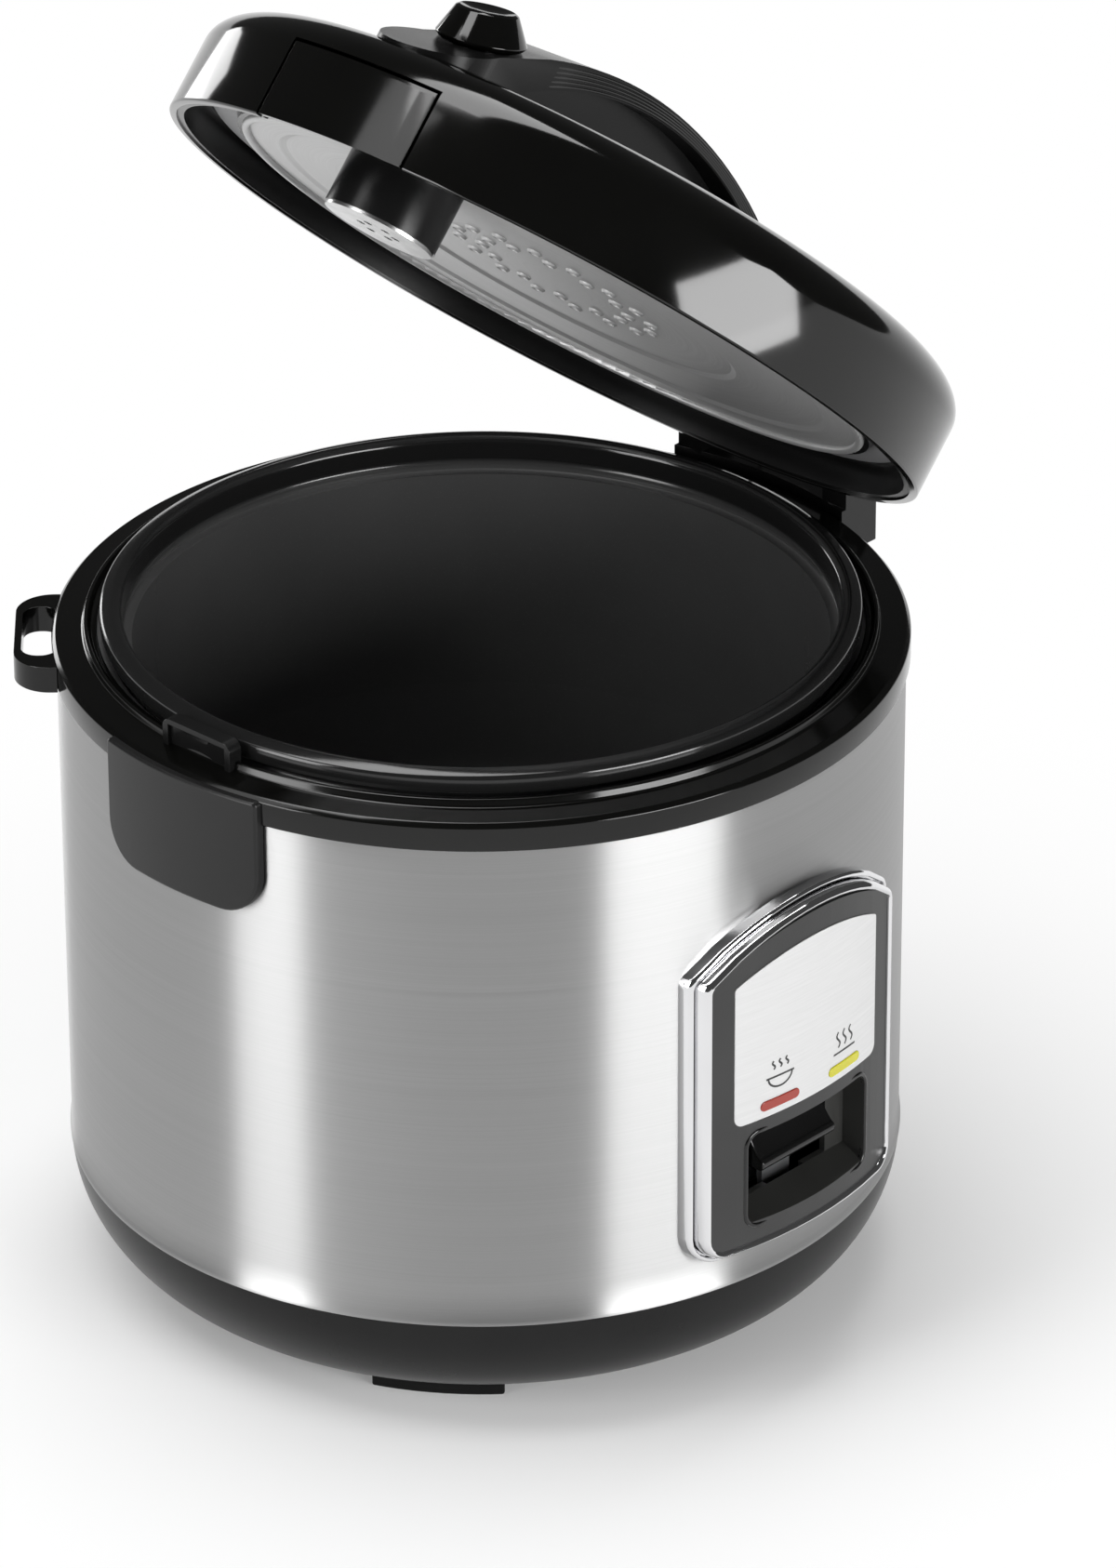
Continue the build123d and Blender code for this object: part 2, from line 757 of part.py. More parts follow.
with BuildPart() as terminal_block:
    with BuildSketch(Plane.XY.offset(liner_floor)):
        with Locations((0, terminal_y)):
            Rectangle(block_length, block_width)
    extrude(amount=-block_height)
    with BuildSketch(Plane.XY.offset(liner_floor - block_height)):
        with Locations((0, terminal_y)):
            with GridLocations(11, 1, 3, 1):
                Circle(3.2)
    extrude(amount=5, mode=Mode.SUBTRACT)
terminal_block.part.label = "terminal_block"
export_step(terminal_block.part, "parts/terminal_block.step")


# Mains inlet: a flanged socket low on the back, with two pins

inlet_back = liner_radius + 1.5
inlet_proud = body_radius + 2.4
inlet_mid = (inlet_low + inlet_high) / 2
inlet_wall = 2.6

with BuildPart() as inlet_socket:
    with BuildSketch(Plane.XZ):
        with Locations((0, inlet_mid)):
            RectangleRounded(2 * inlet_half + 8, inlet_high - inlet_low + 8, 4)
    extrude(amount=-inlet_proud - 5)
    extrude(ring_face(inlet_proud, body_radius), amount=inlet_high + 20, mode=Mode.INTERSECT)
    with BuildSketch(Plane.XZ.offset(-inlet_back)):
        with Locations((0, inlet_mid)):
            Rectangle(2 * inlet_half, inlet_high - inlet_low)
    extrude(amount=inlet_back - body_radius)
    with BuildSketch(Plane.XZ.offset(-inlet_back - inlet_wall)):
        with Locations((0, inlet_mid)):
            RectangleRounded(2 * inlet_half - 6, inlet_high - inlet_low - 6, 3)
    extrude(amount=-30, mode=Mode.SUBTRACT)
inlet_socket.part.label = "inlet_socket"
export_step(inlet_socket.part, "parts/inlet_socket.step")

with BuildPart() as inlet_pins:
    with BuildSketch(Plane.XZ.offset(-inlet_back - inlet_wall)):
        with Locations((0, inlet_mid)):
            with GridLocations(14, 1, 2, 1):
                Circle(2.0)
    extrude(amount=-9.5)
inlet_pins.part.label = "inlet_pins"
export_step(inlet_pins.part, "parts/inlet_pins.step")


# Control panel: a stepped bright bezel bent around the body, a dark face with the switch pocket, and a label

label_radius = body_radius + panel_proud
face_outer = label_radius - 0.3
face_inner = face_outer - wall
bezel_step = body_radius + 4.2
bezel_crest = label_radius + 1.0
face_half = panel_half - 4.8
face_bottom = panel_bottom + 4.3
face_side = panel_side - 1.0
face_peak = panel_peak - 5.9
label_half = face_half - 7.5
label_bottom = 96.7
label_side = face_side - 3.3
label_peak = face_peak - 7.8
lamp_x = label_half - 16.6
lamp_z = label_bottom + 3.8
lamp_long = 15.0
lamp_tall = 3.2
pocket_half = 25.4
pocket_low = 62.0
pocket_high = 92.0
pocket_corner = 4.0
pocket_back = 4.0 - body_radius
pocket_skin = 2.0
pocket_front = -label_radius - 18.0  # the cut runs out in front of the panel

with BuildPart() as bezel_crown:
    crown_outline = arched_face(panel_half - 2.2, panel_bottom + 1.8, panel_side - 0.8, panel_peak - 2.2, 8)
    extrude(crown_outline, amount=200)
    extrude(ring_face(bezel_crest, bezel_step - 0.5), amount=200, mode=Mode.INTERSECT)

with BuildPart() as panel_bezel:
    extrude(arched_face(panel_half, panel_bottom, panel_side, panel_peak, 10), amount=200)
    extrude(ring_face(bezel_step, body_radius), amount=200, mode=Mode.INTERSECT)
    add(bezel_crown.part)
    extrude(arched_face(face_half, face_bottom, face_side, face_peak, 5), amount=200, mode=Mode.SUBTRACT)
panel_bezel.part.label = "panel_bezel"
export_step(panel_bezel.part, "parts/panel_bezel.step")


def lamp_face(side, plane=Plane.XZ):
    """The pill-shaped outline of one indicator window."""
    with BuildSketch(plane) as window:
        with Locations((side * lamp_x, lamp_z)):
            SlotOverall(lamp_long, lamp_tall)
    return window.sketch


with BuildPart() as panel_skirt:
    extrude(arched_face(face_half, face_bottom, face_side, face_peak, 5), amount=200)
    skirt_inside = arched_face(face_half - 2, face_bottom + 2, face_side - 2, face_peak - 2, 4)
    extrude(skirt_inside, amount=200, mode=Mode.SUBTRACT)
    extrude(ring_face(face_inner + 0.5, body_radius), amount=200, mode=Mode.INTERSECT)

with BuildPart() as pocket_box:
    with BuildSketch(Plane.XZ.offset(-pocket_back - pocket_skin)):
        with Locations((0, (pocket_low + pocket_high) / 2)):
            Rectangle(2 * (pocket_half + pocket_skin), pocket_high - pocket_low + 2 * pocket_skin)
    extrude(amount=200)
    with BuildSketch(Plane.XY):
        Circle(face_inner + 0.5)
    extrude(amount=200, mode=Mode.INTERSECT)

with BuildPart() as pocket_room:
    with BuildSketch(Plane.YZ):
        with BuildLine():
            Polyline(
                (pocket_back, pocket_low + 3.4), (pocket_back, pocket_high), (pocket_front, pocket_high),
                (pocket_front, pocket_low), (-label_radius, pocket_low), close=True,
            )
        make_face()
    extrude(amount=pocket_half, both=True)
    with BuildSketch(Plane.XZ):
        with Locations((0, (pocket_low + pocket_high) / 2)):
            RectangleRounded(2 * pocket_half, pocket_high - pocket_low, pocket_corner)
    extrude(amount=-pocket_front + 1, mode=Mode.INTERSECT)

with BuildPart() as panel_face:
    extrude(arched_face(face_half, face_bottom, face_side, face_peak, 5), amount=200)
    extrude(ring_face(face_outer, face_inner), amount=200, mode=Mode.INTERSECT)
    add(panel_skirt.part)
    add(pocket_box.part)
    add(pocket_room.part, mode=Mode.SUBTRACT)
    with BuildSketch(Plane.XZ):
        with Locations((0, (pocket_low + 3.4 + pocket_high) / 2)):
            Rectangle(2 * paddle_half + 3, pocket_high - pocket_low - 3.4)
        with Locations((0, pocket_low)):
            Rectangle(2 * lever_half + 4, 16)
    extrude(amount=-pocket_back + 0.01, mode=Mode.SUBTRACT)
    for side in (-1, 1):
        with BuildSketch(Plane.XZ.offset(body_radius - 1.0)):
            with Locations((side * 24, lamp_z + 8)):
                Circle(2.5)
        extrude(amount=face_inner - body_radius)
        extrude(lamp_face(side), amount=200, mode=Mode.SUBTRACT)
panel_face.part.label = "panel_face"
export_step(panel_face.part, "parts/panel_face.step")

with BuildPart() as label_plate:
    extrude(arched_face(label_half, label_bottom, label_side, label_peak, 3), amount=200)
    extrude(ring_face(label_radius, face_outer), amount=200, mode=Mode.INTERSECT)
    for side in (-1, 1):
        extrude(lamp_face(side), amount=200, mode=Mode.SUBTRACT)
label_plate.part.label = "label_plate"
export_step(label_plate.part, "parts/label_plate.step")

lens_back = body_radius + 2.0
board_half = label_half - 2.6
board_tall = 16.0
board_thick = 1.6

with BuildPart() as cook_lens:
    extrude(lamp_face(-1), amount=200)
    extrude(ring_face(label_radius + 0.4, lens_back), amount=200, mode=Mode.INTERSECT)
cook_lens.part.label = "cook_lens"
export_step(cook_lens.part, "parts/cook_lens.step")

with BuildPart() as warm_lens:
    extrude(lamp_face(1), amount=200)
    extrude(ring_face(label_radius + 0.4, lens_back), amount=200, mode=Mode.INTERSECT)
warm_lens.part.label = "warm_lens"
export_step(warm_lens.part, "parts/warm_lens.step")

with BuildPart() as lamp_board:
    with BuildSketch(Plane.XZ.offset(body_radius - 1.0)):
        with Locations((0, lamp_z + 4)):
            Rectangle(2 * board_half, board_tall)
    extrude(amount=-board_thick)
    for side in (-1, 1):
        with BuildSketch(Plane.XZ.offset(body_radius - 1.0)):
            with Locations((side * lamp_x, lamp_z)):
                Circle(1.5)
        extrude(amount=2.0)
lamp_board.part.label = "lamp_board"
export_step(lamp_board.part, "parts/lamp_board.step")


# Inner pot: a drawn bowl with a round foot, a stepped neck and a rolled rim

rim_width = 6.5
neck_radius = pot_rim_radius - rim_width
pot_inner = neck_radius - 2.5
pot_corner = 24.0
neck_low = pot_rim_top - 9.0

with BuildPart() as inner_pot:
    with BuildSketch(Plane.XZ):
        with BuildLine():
            outer_wall = pot_inner + pot_sheet
            round_start = outer_wall - pot_corner
            round_end = pot_floor + pot_corner
            inner_start = (round_start, pot_floor + pot_sheet)
            inner_round = TangentArc(inner_start, (pot_inner, round_end), tangent=(1, 0))
            outer_round = TangentArc((round_start, pot_floor), (outer_wall, round_end), tangent=(1, 0))
            rim = ThreePointArc(
                (neck_radius, pot_rim_top - 3), (neck_radius + 2.2, pot_rim_top),
                (pot_rim_radius, pot_rim_top - 4),
            )
            Polyline(
                inner_round @ 1, (pot_inner, neck_low - 3.2), (neck_radius, neck_low), rim @ 0,
            )
            Polyline(
                rim @ 1, (pot_rim_radius, pot_rim_top - 6.8), (pot_rim_radius - 1.2, pot_rim_top - 6.8),
                (pot_rim_radius - 1.2, pot_rim_top - 4.4), (neck_radius + 2.6, pot_rim_top - 1.9),
                (neck_radius + pot_sheet, pot_rim_top - 3.4), (neck_radius + pot_sheet, neck_low + 0.4),
                (outer_wall, neck_low - 2.8), outer_round @ 1,
            )
            Polyline(outer_round @ 0, (0, pot_floor), (0, pot_floor + pot_sheet), inner_round @ 0)
        make_face()
    revolve()
inner_pot.part.label = "inner_pot"
export_step(inner_pot.part, "parts/inner_pot.step")


# Lid frame: the closed lid's rim plane turned about the hinge by the opening angle

tilt = radians(lid_open)
rim_drop = lid_seat - hinge_z
rim_x = hinge_x - hinge_x * cos(tilt) + rim_drop * sin(tilt)
rim_z = hinge_z + hinge_x * sin(tilt) + rim_drop * cos(tilt)
lid_plane = Plane(
    origin=(rim_x, 0, rim_z),
    x_dir=(cos(tilt), 0, -sin(tilt)),
    z_dir=(sin(tilt), 0, cos(tilt)),
)
lid_section = Plane(lid_plane.origin, x_dir=lid_plane.x_dir, z_dir=-lid_plane.y_dir)
lid_axis = Axis(lid_plane.origin, lid_plane.z_dir)
shoulder_start = lid_radius - 22.5
shoulder_rise = 14.2
shoulder_sweep = 76.6


def dome_face(inset, bottom=0.0):
    """Filled half section of the lid, its outside moved inwards by the inset."""
    with BuildSketch(lid_section) as section:
        with BuildLine():
            shoulder = EllipticalCenterArc(
                (shoulder_start, lid_skirt), 22.5 - inset, shoulder_rise - inset, 0, arc_size=shoulder_sweep,
            )
            TangentArc((0, lid_dome - inset), shoulder @ 1, tangent=(1, 0))
            Polyline((0, lid_dome - inset), (0, bottom), (lid_radius - inset, bottom), shoulder @ 0)
        make_face()
    return section.sketch


# Seat of the steam cap: a plane on the handle's front slope, square to the cap's axis

slope = radians(cap_lean)
seat_x = vent_x + 1.5
seat_h = lid_dome + 5.3
seat_origin = lid_plane.from_local_coords((seat_x, 0, seat_h))
seat_plane = Plane(
    origin=seat_origin,
    x_dir=lid_plane.x_dir * cos(slope) + lid_plane.z_dir * sin(slope),
    z_dir=lid_plane.z_dir * cos(slope) - lid_plane.x_dir * sin(slope),
)
seat_section = Plane(seat_origin, x_dir=seat_plane.x_dir, z_dir=-lid_plane.y_dir)
seat_axis = Axis(seat_origin, seat_plane.z_dir)


def seat_disc(radius, depth):
    """A circle about the cap's axis at some depth below its seat."""
    with BuildSketch(seat_plane.offset(-depth)) as disc:
        Circle(radius)
    return disc.sketch


# Lid cover: the glossy dome, with a window for the latch button, a hole for the vent and screw bosses

lid_wall = 2.5
button_half = 27.5
button_top = 23.7
button_swing = 1.1  # room above the button for its turn
frame_top = 12.5  # top of the lid's inner frame
boss_inset = 6.9
boss_radius = lid_radius - boss_inset
boss_top = 30.0
boss_angles = (45, 135, 225, 315)
vent_tube = 11.5

with BuildPart() as lid_cover:
    revolve(dome_face(0), axis=lid_axis)
    revolve(dome_face(lid_wall, -1), axis=lid_axis, mode=Mode.SUBTRACT)
    with BuildSketch(lid_plane.offset(frame_top)):
        with PolarLocations(boss_radius, len(boss_angles), start_angle=boss_angles[0]):
            Circle(2.8)
    extrude(amount=boss_top - frame_top)
    with BuildSketch(lid_plane.offset(-1)):
        with Locations((-lid_radius, 0)):
            Rectangle(16, 2 * (button_half + seam_gap))
    extrude(amount=button_top + button_swing + 1, mode=Mode.SUBTRACT)
    extrude(seat_disc(vent_tube, 17.5), amount=30, mode=Mode.SUBTRACT)
    with BuildSketch(lid_plane.offset(frame_top)):
        with PolarLocations(boss_radius, len(boss_angles), start_angle=boss_angles[0]):
            Circle(screw_hole)
    extrude(amount=9, mode=Mode.SUBTRACT)
lid_cover.part.label = "lid_cover"
export_step(lid_cover.part, "parts/lid_cover.step")


# Lid inner frame: a channel inside the rim that holds the plate, the seal and the latch pivot

frame_low = 10.5
frame_wall = lid_radius - lid_wall
frame_wall_inner = frame_wall - 2.2
plate_margin = 20.8
plate_edge = lid_radius - plate_margin
collar = plate_edge + 1.8
collar_low = 6.5
latch_x = 6.7 - lid_radius
latch_h = 16.0
latch_pin_radius = 1.5
lug_inner = 16.0
lug_outer = 19.0
latch_notch = latch_x + 1.2

with BuildPart() as lid_inner:
    revolve(turned_face([
        (plate_edge, collar_low), (collar, collar_low), (collar, frame_low), (frame_wall_inner, frame_low),
        (frame_wall_inner, 0.6), (frame_wall, 0.6), (frame_wall, frame_top), (plate_edge, frame_top),
    ], lid_section), axis=lid_axis)
    with BuildSketch(lid_plane.offset(-1)):
        with Locations((latch_notch - 10, 0)):
            Rectangle(20, 2 * (button_half + seam_gap))
    extrude(amount=frame_top + 3, mode=Mode.SUBTRACT)
    for side in (-1, 1):
        with BuildSketch(lid_section.offset(-side * (lug_inner + lug_outer) / 2)):
            with BuildLine():
                Polyline(
                    (latch_x + 8, frame_top), (latch_x + 8, frame_top + 1.5), (latch_x + 2, latch_h + 2),
                    (latch_x - 2, latch_h + 2), (latch_x - 2, frame_top), close=True,
                )
            make_face()
            with Locations((latch_x, latch_h)):
                Circle(latch_pin_radius + 0.02, mode=Mode.SUBTRACT)
        extrude(amount=(lug_outer - lug_inner) / 2, both=True)
    with BuildSketch(lid_plane.offset(frame_top)):
        with Locations((latch_x + 4.6, 0)):
            Rectangle(2.0, 10)
    extrude(amount=11.0)
    with BuildSketch(lid_plane.offset(frame_low)):
        with PolarLocations(boss_radius, len(boss_angles), start_angle=boss_angles[0]):
            Circle(screw_hole)
    extrude(amount=4, mode=Mode.SUBTRACT)
lid_inner.part.label = "lid_inner"
export_step(lid_inner.part, "parts/lid_inner.step")


# Lid screws: up through the inner frame into the cover's bosses

with BuildPart() as lid_screws:
    add(screws(lid_plane.offset(frame_low), ring_spots(boss_radius, boss_angles), 1.8, 1.5, 1.2, 10.0))
lid_screws.part.label = "lid_screws"
export_step(lid_screws.part, "parts/lid_screws.step")


# Lid seal: a silicone ring over the pot's rim

seal_low = pot_rim_top - lid_seat + 0.6

with BuildPart() as lid_seal:
    revolve(turned_face([
        (collar, seal_low + 0.6), (collar + 1, seal_low), (collar + 9, seal_low),
        (collar + 10, seal_low + 0.6), (collar + 10, frame_low), (collar, frame_low),
    ], lid_section), axis=lid_axis)
lid_seal.part.label = "lid_seal"
export_step(lid_seal.part, "parts/lid_seal.step")


# Inner plate: pressed aluminium with two steps, a rolled edge and two rings of drip holes

plate_gauge = 0.9
roll = 1.3
roll_h = 6.4
outer_zone = 12.0
inner_zone = 42.0
step_outer = plate_edge - outer_zone
step_inner = plate_edge - inner_zone
plate_mid = 8.3
plate_step = 0.8
plate_flat = plate_edge - roll - 0.6
vent_radius = 17.5

with BuildPart() as lid_plate:
    revolve(turned_face([
        (0, plate_mid), (step_inner - 2, plate_mid), (step_inner, plate_mid - plate_step),
        (step_outer - 2, plate_mid - plate_step), (step_outer, plate_mid - 2 * plate_step),
        (plate_flat, plate_mid - 2 * plate_step), (plate_flat, plate_mid - 2 * plate_step + plate_gauge),
        (step_outer, plate_mid - 2 * plate_step + plate_gauge),
        (step_outer - 2, plate_mid - plate_step + plate_gauge),
        (step_inner, plate_mid - plate_step + plate_gauge), (step_inner - 2, plate_mid + plate_gauge),
        (0, plate_mid + plate_gauge),
    ], lid_section), axis=lid_axis)
    with BuildSketch(lid_section):
        with Locations((plate_edge - roll, roll_h)):
            Circle(roll)
    revolve(axis=lid_axis)
    with BuildSketch(lid_plane):
        with Locations((vent_x, 0)):
            Circle(vent_radius)
        with PolarLocations(24, 12):
            Circle(1.3)
        with PolarLocations(32, 16):
            Circle(1.3)
    extrude(amount=15, mode=Mode.SUBTRACT)
lid_plate.part.label = "lid_plate"
export_step(lid_plate.part, "parts/lid_plate.step")


# Steam vent: a chamber under the plate with an elbow up through the cover, closed below by a pierced disc

vent_origin = lid_plane.from_local_coords((vent_x, 0, 0))
vent_section = Plane(vent_origin, x_dir=lid_plane.x_dir, z_dir=-lid_plane.y_dir)
vent_axis = Axis(vent_origin, lid_plane.z_dir)
vent_low = -10.8
vent_bore = 9.0
vent_roof = 2.0
tube_high = lid_dome - 10.5
elbow_depth = 19.0
elbow_top = 1.5  # below the cap's seat

with BuildPart() as vent_body:
    revolve(turned_face([
        (0, vent_low), (vent_radius, vent_low), (vent_radius, frame_top - 0.5),
        (vent_tube, frame_top - 0.5), (vent_tube, tube_high), (0, tube_high),
    ], vent_section), axis=vent_axis)
    extrude(seat_disc(vent_tube, elbow_depth), amount=elbow_depth - elbow_top)
    extrude(seat_disc(vent_bore, elbow_depth - vent_roof), amount=elbow_depth, mode=Mode.SUBTRACT)
    with BuildSketch(lid_plane.offset(vent_low)):
        with Locations((vent_x, 0)):
            Circle(vent_bore)
    extrude(amount=tube_high - vent_roof - vent_low, mode=Mode.SUBTRACT)
vent_body.part.label = "vent_body"
export_step(vent_body.part, "parts/vent_body.step")

with BuildPart() as vent_disc:
    with BuildSketch(Plane(vent_origin, x_dir=lid_plane.x_dir, z_dir=lid_plane.z_dir).offset(vent_low - 1.0)):
        Circle(vent_radius - 0.5)
        with PolarLocations(5.5, 6):
            Circle(1.4, mode=Mode.SUBTRACT)
    extrude(amount=1.0)
vent_disc.part.label = "vent_disc"
export_step(vent_disc.part, "parts/vent_disc.step")


# Lid handle: a slope from a round tongue, which carries the steam cap, running into an arch over the dome

handle_half = 15.0
tongue_radius = handle_half + 2.0
tongue_tip = 10.0 - lid_radius
handle_short = 30.5  # from the handle's back end to the skirt
handle_end = lid_radius - handle_short
arch_start = seat_x + 13.0
arch_low = lid_dome - 6.0
arch_top = lid_dome + 22.0
arch_under = lid_dome + 17.4
gap_start = vent_x + 11.5
web_half = 6.0  # the hollows for the fingers are open to the sides and closed by this web


def slope_height(x):
    """Height of the handle's front slope."""
    return seat_h + (x - seat_x) * sin(slope) / cos(slope)


with BuildPart() as lid_handle:
    with BuildSketch(lid_section):
        with BuildLine():
            arch_foot = (arch_start, slope_height(arch_start))
            top_arch = ThreePointArc(arch_foot, (0, arch_top), (handle_end, arch_low))
            under_arch = ThreePointArc((handle_end - 12, arch_low), (2, arch_under), (gap_start, lid_dome - 1))
            Line((tongue_tip, slope_height(tongue_tip)), arch_foot)
            Line(top_arch @ 1, under_arch @ 0)
            Polyline(
                under_arch @ 1, (gap_start, lid_dome - 14), (tongue_tip, lid_dome - 14),
                (tongue_tip, slope_height(tongue_tip)),
            )
        make_face()
    extrude(amount=tongue_radius, both=True)
    with BuildSketch(lid_section):
        with BuildLine():
            add(under_arch)
            Polyline(
                under_arch @ 1, (gap_start, lid_dome - 14), (handle_end - 12, lid_dome - 14), under_arch @ 0,
            )
        make_face()
    extrude(amount=web_half, both=True)
    with BuildSketch(lid_plane) as plan:
        with Locations((tongue_tip + tongue_radius, 0)):
            Circle(tongue_radius)
        with Locations(((tongue_tip + tongue_radius + handle_end) / 2, 0)):
            Rectangle(handle_end - tongue_tip - tongue_radius, 2 * handle_half)
        fillet(plan.vertices().group_by(Axis.X)[-1], radius=6)
    extrude(amount=2 * lid_dome, mode=Mode.INTERSECT)
    revolve(dome_face(0), axis=lid_axis, mode=Mode.SUBTRACT)
    extrude(seat_disc(vent_tube, elbow_depth), amount=elbow_depth + 5, mode=Mode.SUBTRACT)
lid_handle.part.label = "lid_handle"
export_step(lid_handle.part, "parts/lid_handle.step")


# Steam cap: a truncated cone with a dished top, whose stem plugs into the vent's elbow

cap_base = 13.6
cap_foot = cap_base - 1.2
cap_top_radius = 9.3
cap_high = 10.6
cap_low = moving_gap
stem_radius = vent_bore - moving_gap
stem_bore = 5.0
stem_length = 10.0

with BuildPart() as steam_cap:
    with BuildSketch(seat_section):
        with BuildLine():
            dish = ThreePointArc((0, cap_high - 1.3), (5, cap_high - 0.9), (cap_top_radius - 0.9, cap_high))
            Polyline(
                dish @ 1, (cap_top_radius, cap_high - 0.6), (cap_base, cap_low + 1.2), (cap_foot, cap_low),
                (stem_radius, cap_low), (stem_radius, cap_low - stem_length), (stem_bore, cap_low - stem_length),
                (stem_bore, cap_low + 2), (0, cap_low + 2), dish @ 0,
            )
        make_face()
    revolve(axis=seat_axis)
steam_cap.part.label = "steam_cap"
export_step(steam_cap.part, "parts/steam_cap.step")


# Lid hinge arms: two knuckles on the skirt that turn on the pin

hinge_h = hinge_z - lid_seat
arm_inner = 12.5
arm_outer = ear_inner - seam_gap
knuckle = 6.5

with BuildPart() as lid_hinge_arms:
    for side in (-1, 1):
        with BuildSketch(lid_section.offset(-side * (arm_inner + arm_outer) / 2)):
            with BuildLine():
                Polyline(
                    (lid_radius - 10, hinge_h - 7.5), (hinge_x, hinge_h - knuckle),
                    (hinge_x, hinge_h + knuckle), (lid_radius - 10, hinge_h + 7.5), close=True,
                )
            make_face()
            with Locations((hinge_x, hinge_h)):
                Circle(knuckle)
            with Locations((hinge_x, hinge_h)):
                Circle(pin_radius + pin_gap, mode=Mode.SUBTRACT)
        extrude(amount=(arm_outer - arm_inner) / 2, both=True)
    revolve(dome_face(0), axis=lid_axis, mode=Mode.SUBTRACT)
lid_hinge_arms.part.label = "lid_hinge_arms"
export_step(lid_hinge_arms.part, "parts/lid_hinge_arms.step")


# Latch button: a rocker in the lid's skirt, with a hook below its pivot

button_thick = 2.0
hook_half = 8.0

with BuildPart() as button_skin:
    revolve(dome_face(0), axis=lid_axis)
    revolve(dome_face(button_thick, -1), axis=lid_axis, mode=Mode.SUBTRACT)
    with BuildSketch(lid_plane.offset(0.4)):
        with Locations((-lid_radius, 0)):
            Rectangle(20, 2 * button_half)
    extrude(amount=button_top - 0.4, mode=Mode.INTERSECT)

with BuildPart() as latch_button:
    add(button_skin.part)
    for side in (-1, 1):
        with BuildSketch(lid_section.offset(-side * 13)):
            with Locations((latch_x, latch_h)):
                Circle(3.0)
            with Locations(((latch_x + 1.2 - lid_radius + button_thick - 1.5) / 2, latch_h)):
                Rectangle(lid_radius - button_thick + 0.3 + latch_x, 6)
            with Locations((latch_x, latch_h)):
                Circle(latch_pin_radius + pin_gap, mode=Mode.SUBTRACT)
        extrude(amount=2, both=True)
    with BuildSketch(lid_section):
        with BuildLine():
            Polyline(
                (-lid_radius + 1, 0.8), (-lid_radius + 5.3, 2.2), (-lid_radius + 5.3, 4.0),
                (-lid_radius + 4.5, 4.2), (-lid_radius + 1, 6.6), close=True,
            )
        make_face()
    extrude(amount=hook_half, both=True)
latch_button.part.label = "latch_button"
export_step(latch_button.part, "parts/latch_button.step")

with BuildPart() as latch_pin:
    with BuildSketch(lid_section):
        with Locations((latch_x, latch_h)):
            Circle(latch_pin_radius)
    extrude(amount=lug_outer + 1, both=True)
latch_pin.part.label = "latch_pin"
export_step(latch_pin.part, "parts/latch_pin.step")

with BuildPart() as latch_spring:
    spring_start = lid_plane.from_local_coords((-lid_radius + button_thick + 0.5, 0, 21.0))
    spring_length = lid_radius - button_thick - 0.5 + latch_x + 3.6 - 0.5
    add(coil(spring_start, lid_plane.x_dir, spring_length, 2.4, 0.7, 4))
latch_spring.part.label = "latch_spring"
export_step(latch_spring.part, "parts/latch_spring.step")
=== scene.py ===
"""Looks of a jar rice cooker with its lid half open: steel wrap, gloss black lid and ring, dark pot.

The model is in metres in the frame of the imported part; sizes in the sections are in millimetres.
"""
import math

import bmesh
import bpy
from mathutils import Matrix, Vector


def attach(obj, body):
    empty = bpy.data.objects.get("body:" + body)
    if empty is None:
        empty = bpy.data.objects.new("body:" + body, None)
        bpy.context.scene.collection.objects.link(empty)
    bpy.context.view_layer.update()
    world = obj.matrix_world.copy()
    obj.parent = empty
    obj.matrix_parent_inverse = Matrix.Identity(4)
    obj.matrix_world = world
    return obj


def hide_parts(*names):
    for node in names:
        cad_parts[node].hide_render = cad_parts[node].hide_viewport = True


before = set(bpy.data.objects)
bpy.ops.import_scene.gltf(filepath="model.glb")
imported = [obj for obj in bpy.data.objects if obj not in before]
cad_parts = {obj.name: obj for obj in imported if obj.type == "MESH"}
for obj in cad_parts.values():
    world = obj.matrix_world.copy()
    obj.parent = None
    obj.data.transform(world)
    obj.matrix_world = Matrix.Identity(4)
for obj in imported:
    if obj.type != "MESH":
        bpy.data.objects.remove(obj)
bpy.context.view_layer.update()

# Base shell: the satin black bowl that the cooker stands on, moulded in one piece with a fine
# spark-eroded grain. A step round its mouth carries the lower edge of the steel wrap, and the
# bottom plate closes it from below.
MM = 0.001
BODY = Matrix.Identity(4)


def piece(name, bm, place, sharp=35):
    """An object from a mesh in metres, smooth but for edges sharper than an angle in degrees."""
    bmesh.ops.remove_doubles(bm, verts=bm.verts, dist=1e-7)
    bmesh.ops.delete(bm, geom=[v for v in bm.verts if not v.link_faces], context="VERTS")
    bmesh.ops.recalc_face_normals(bm, faces=bm.faces)
    bm.transform(place)
    mesh = bpy.data.meshes.new(name)
    bm.to_mesh(mesh)
    bm.free()
    mesh.shade_smooth()
    mesh.set_sharp_from_angle(angle=math.radians(sharp))
    made = bpy.data.objects.new(name, mesh)
    bpy.context.scene.collection.objects.link(made)
    return made


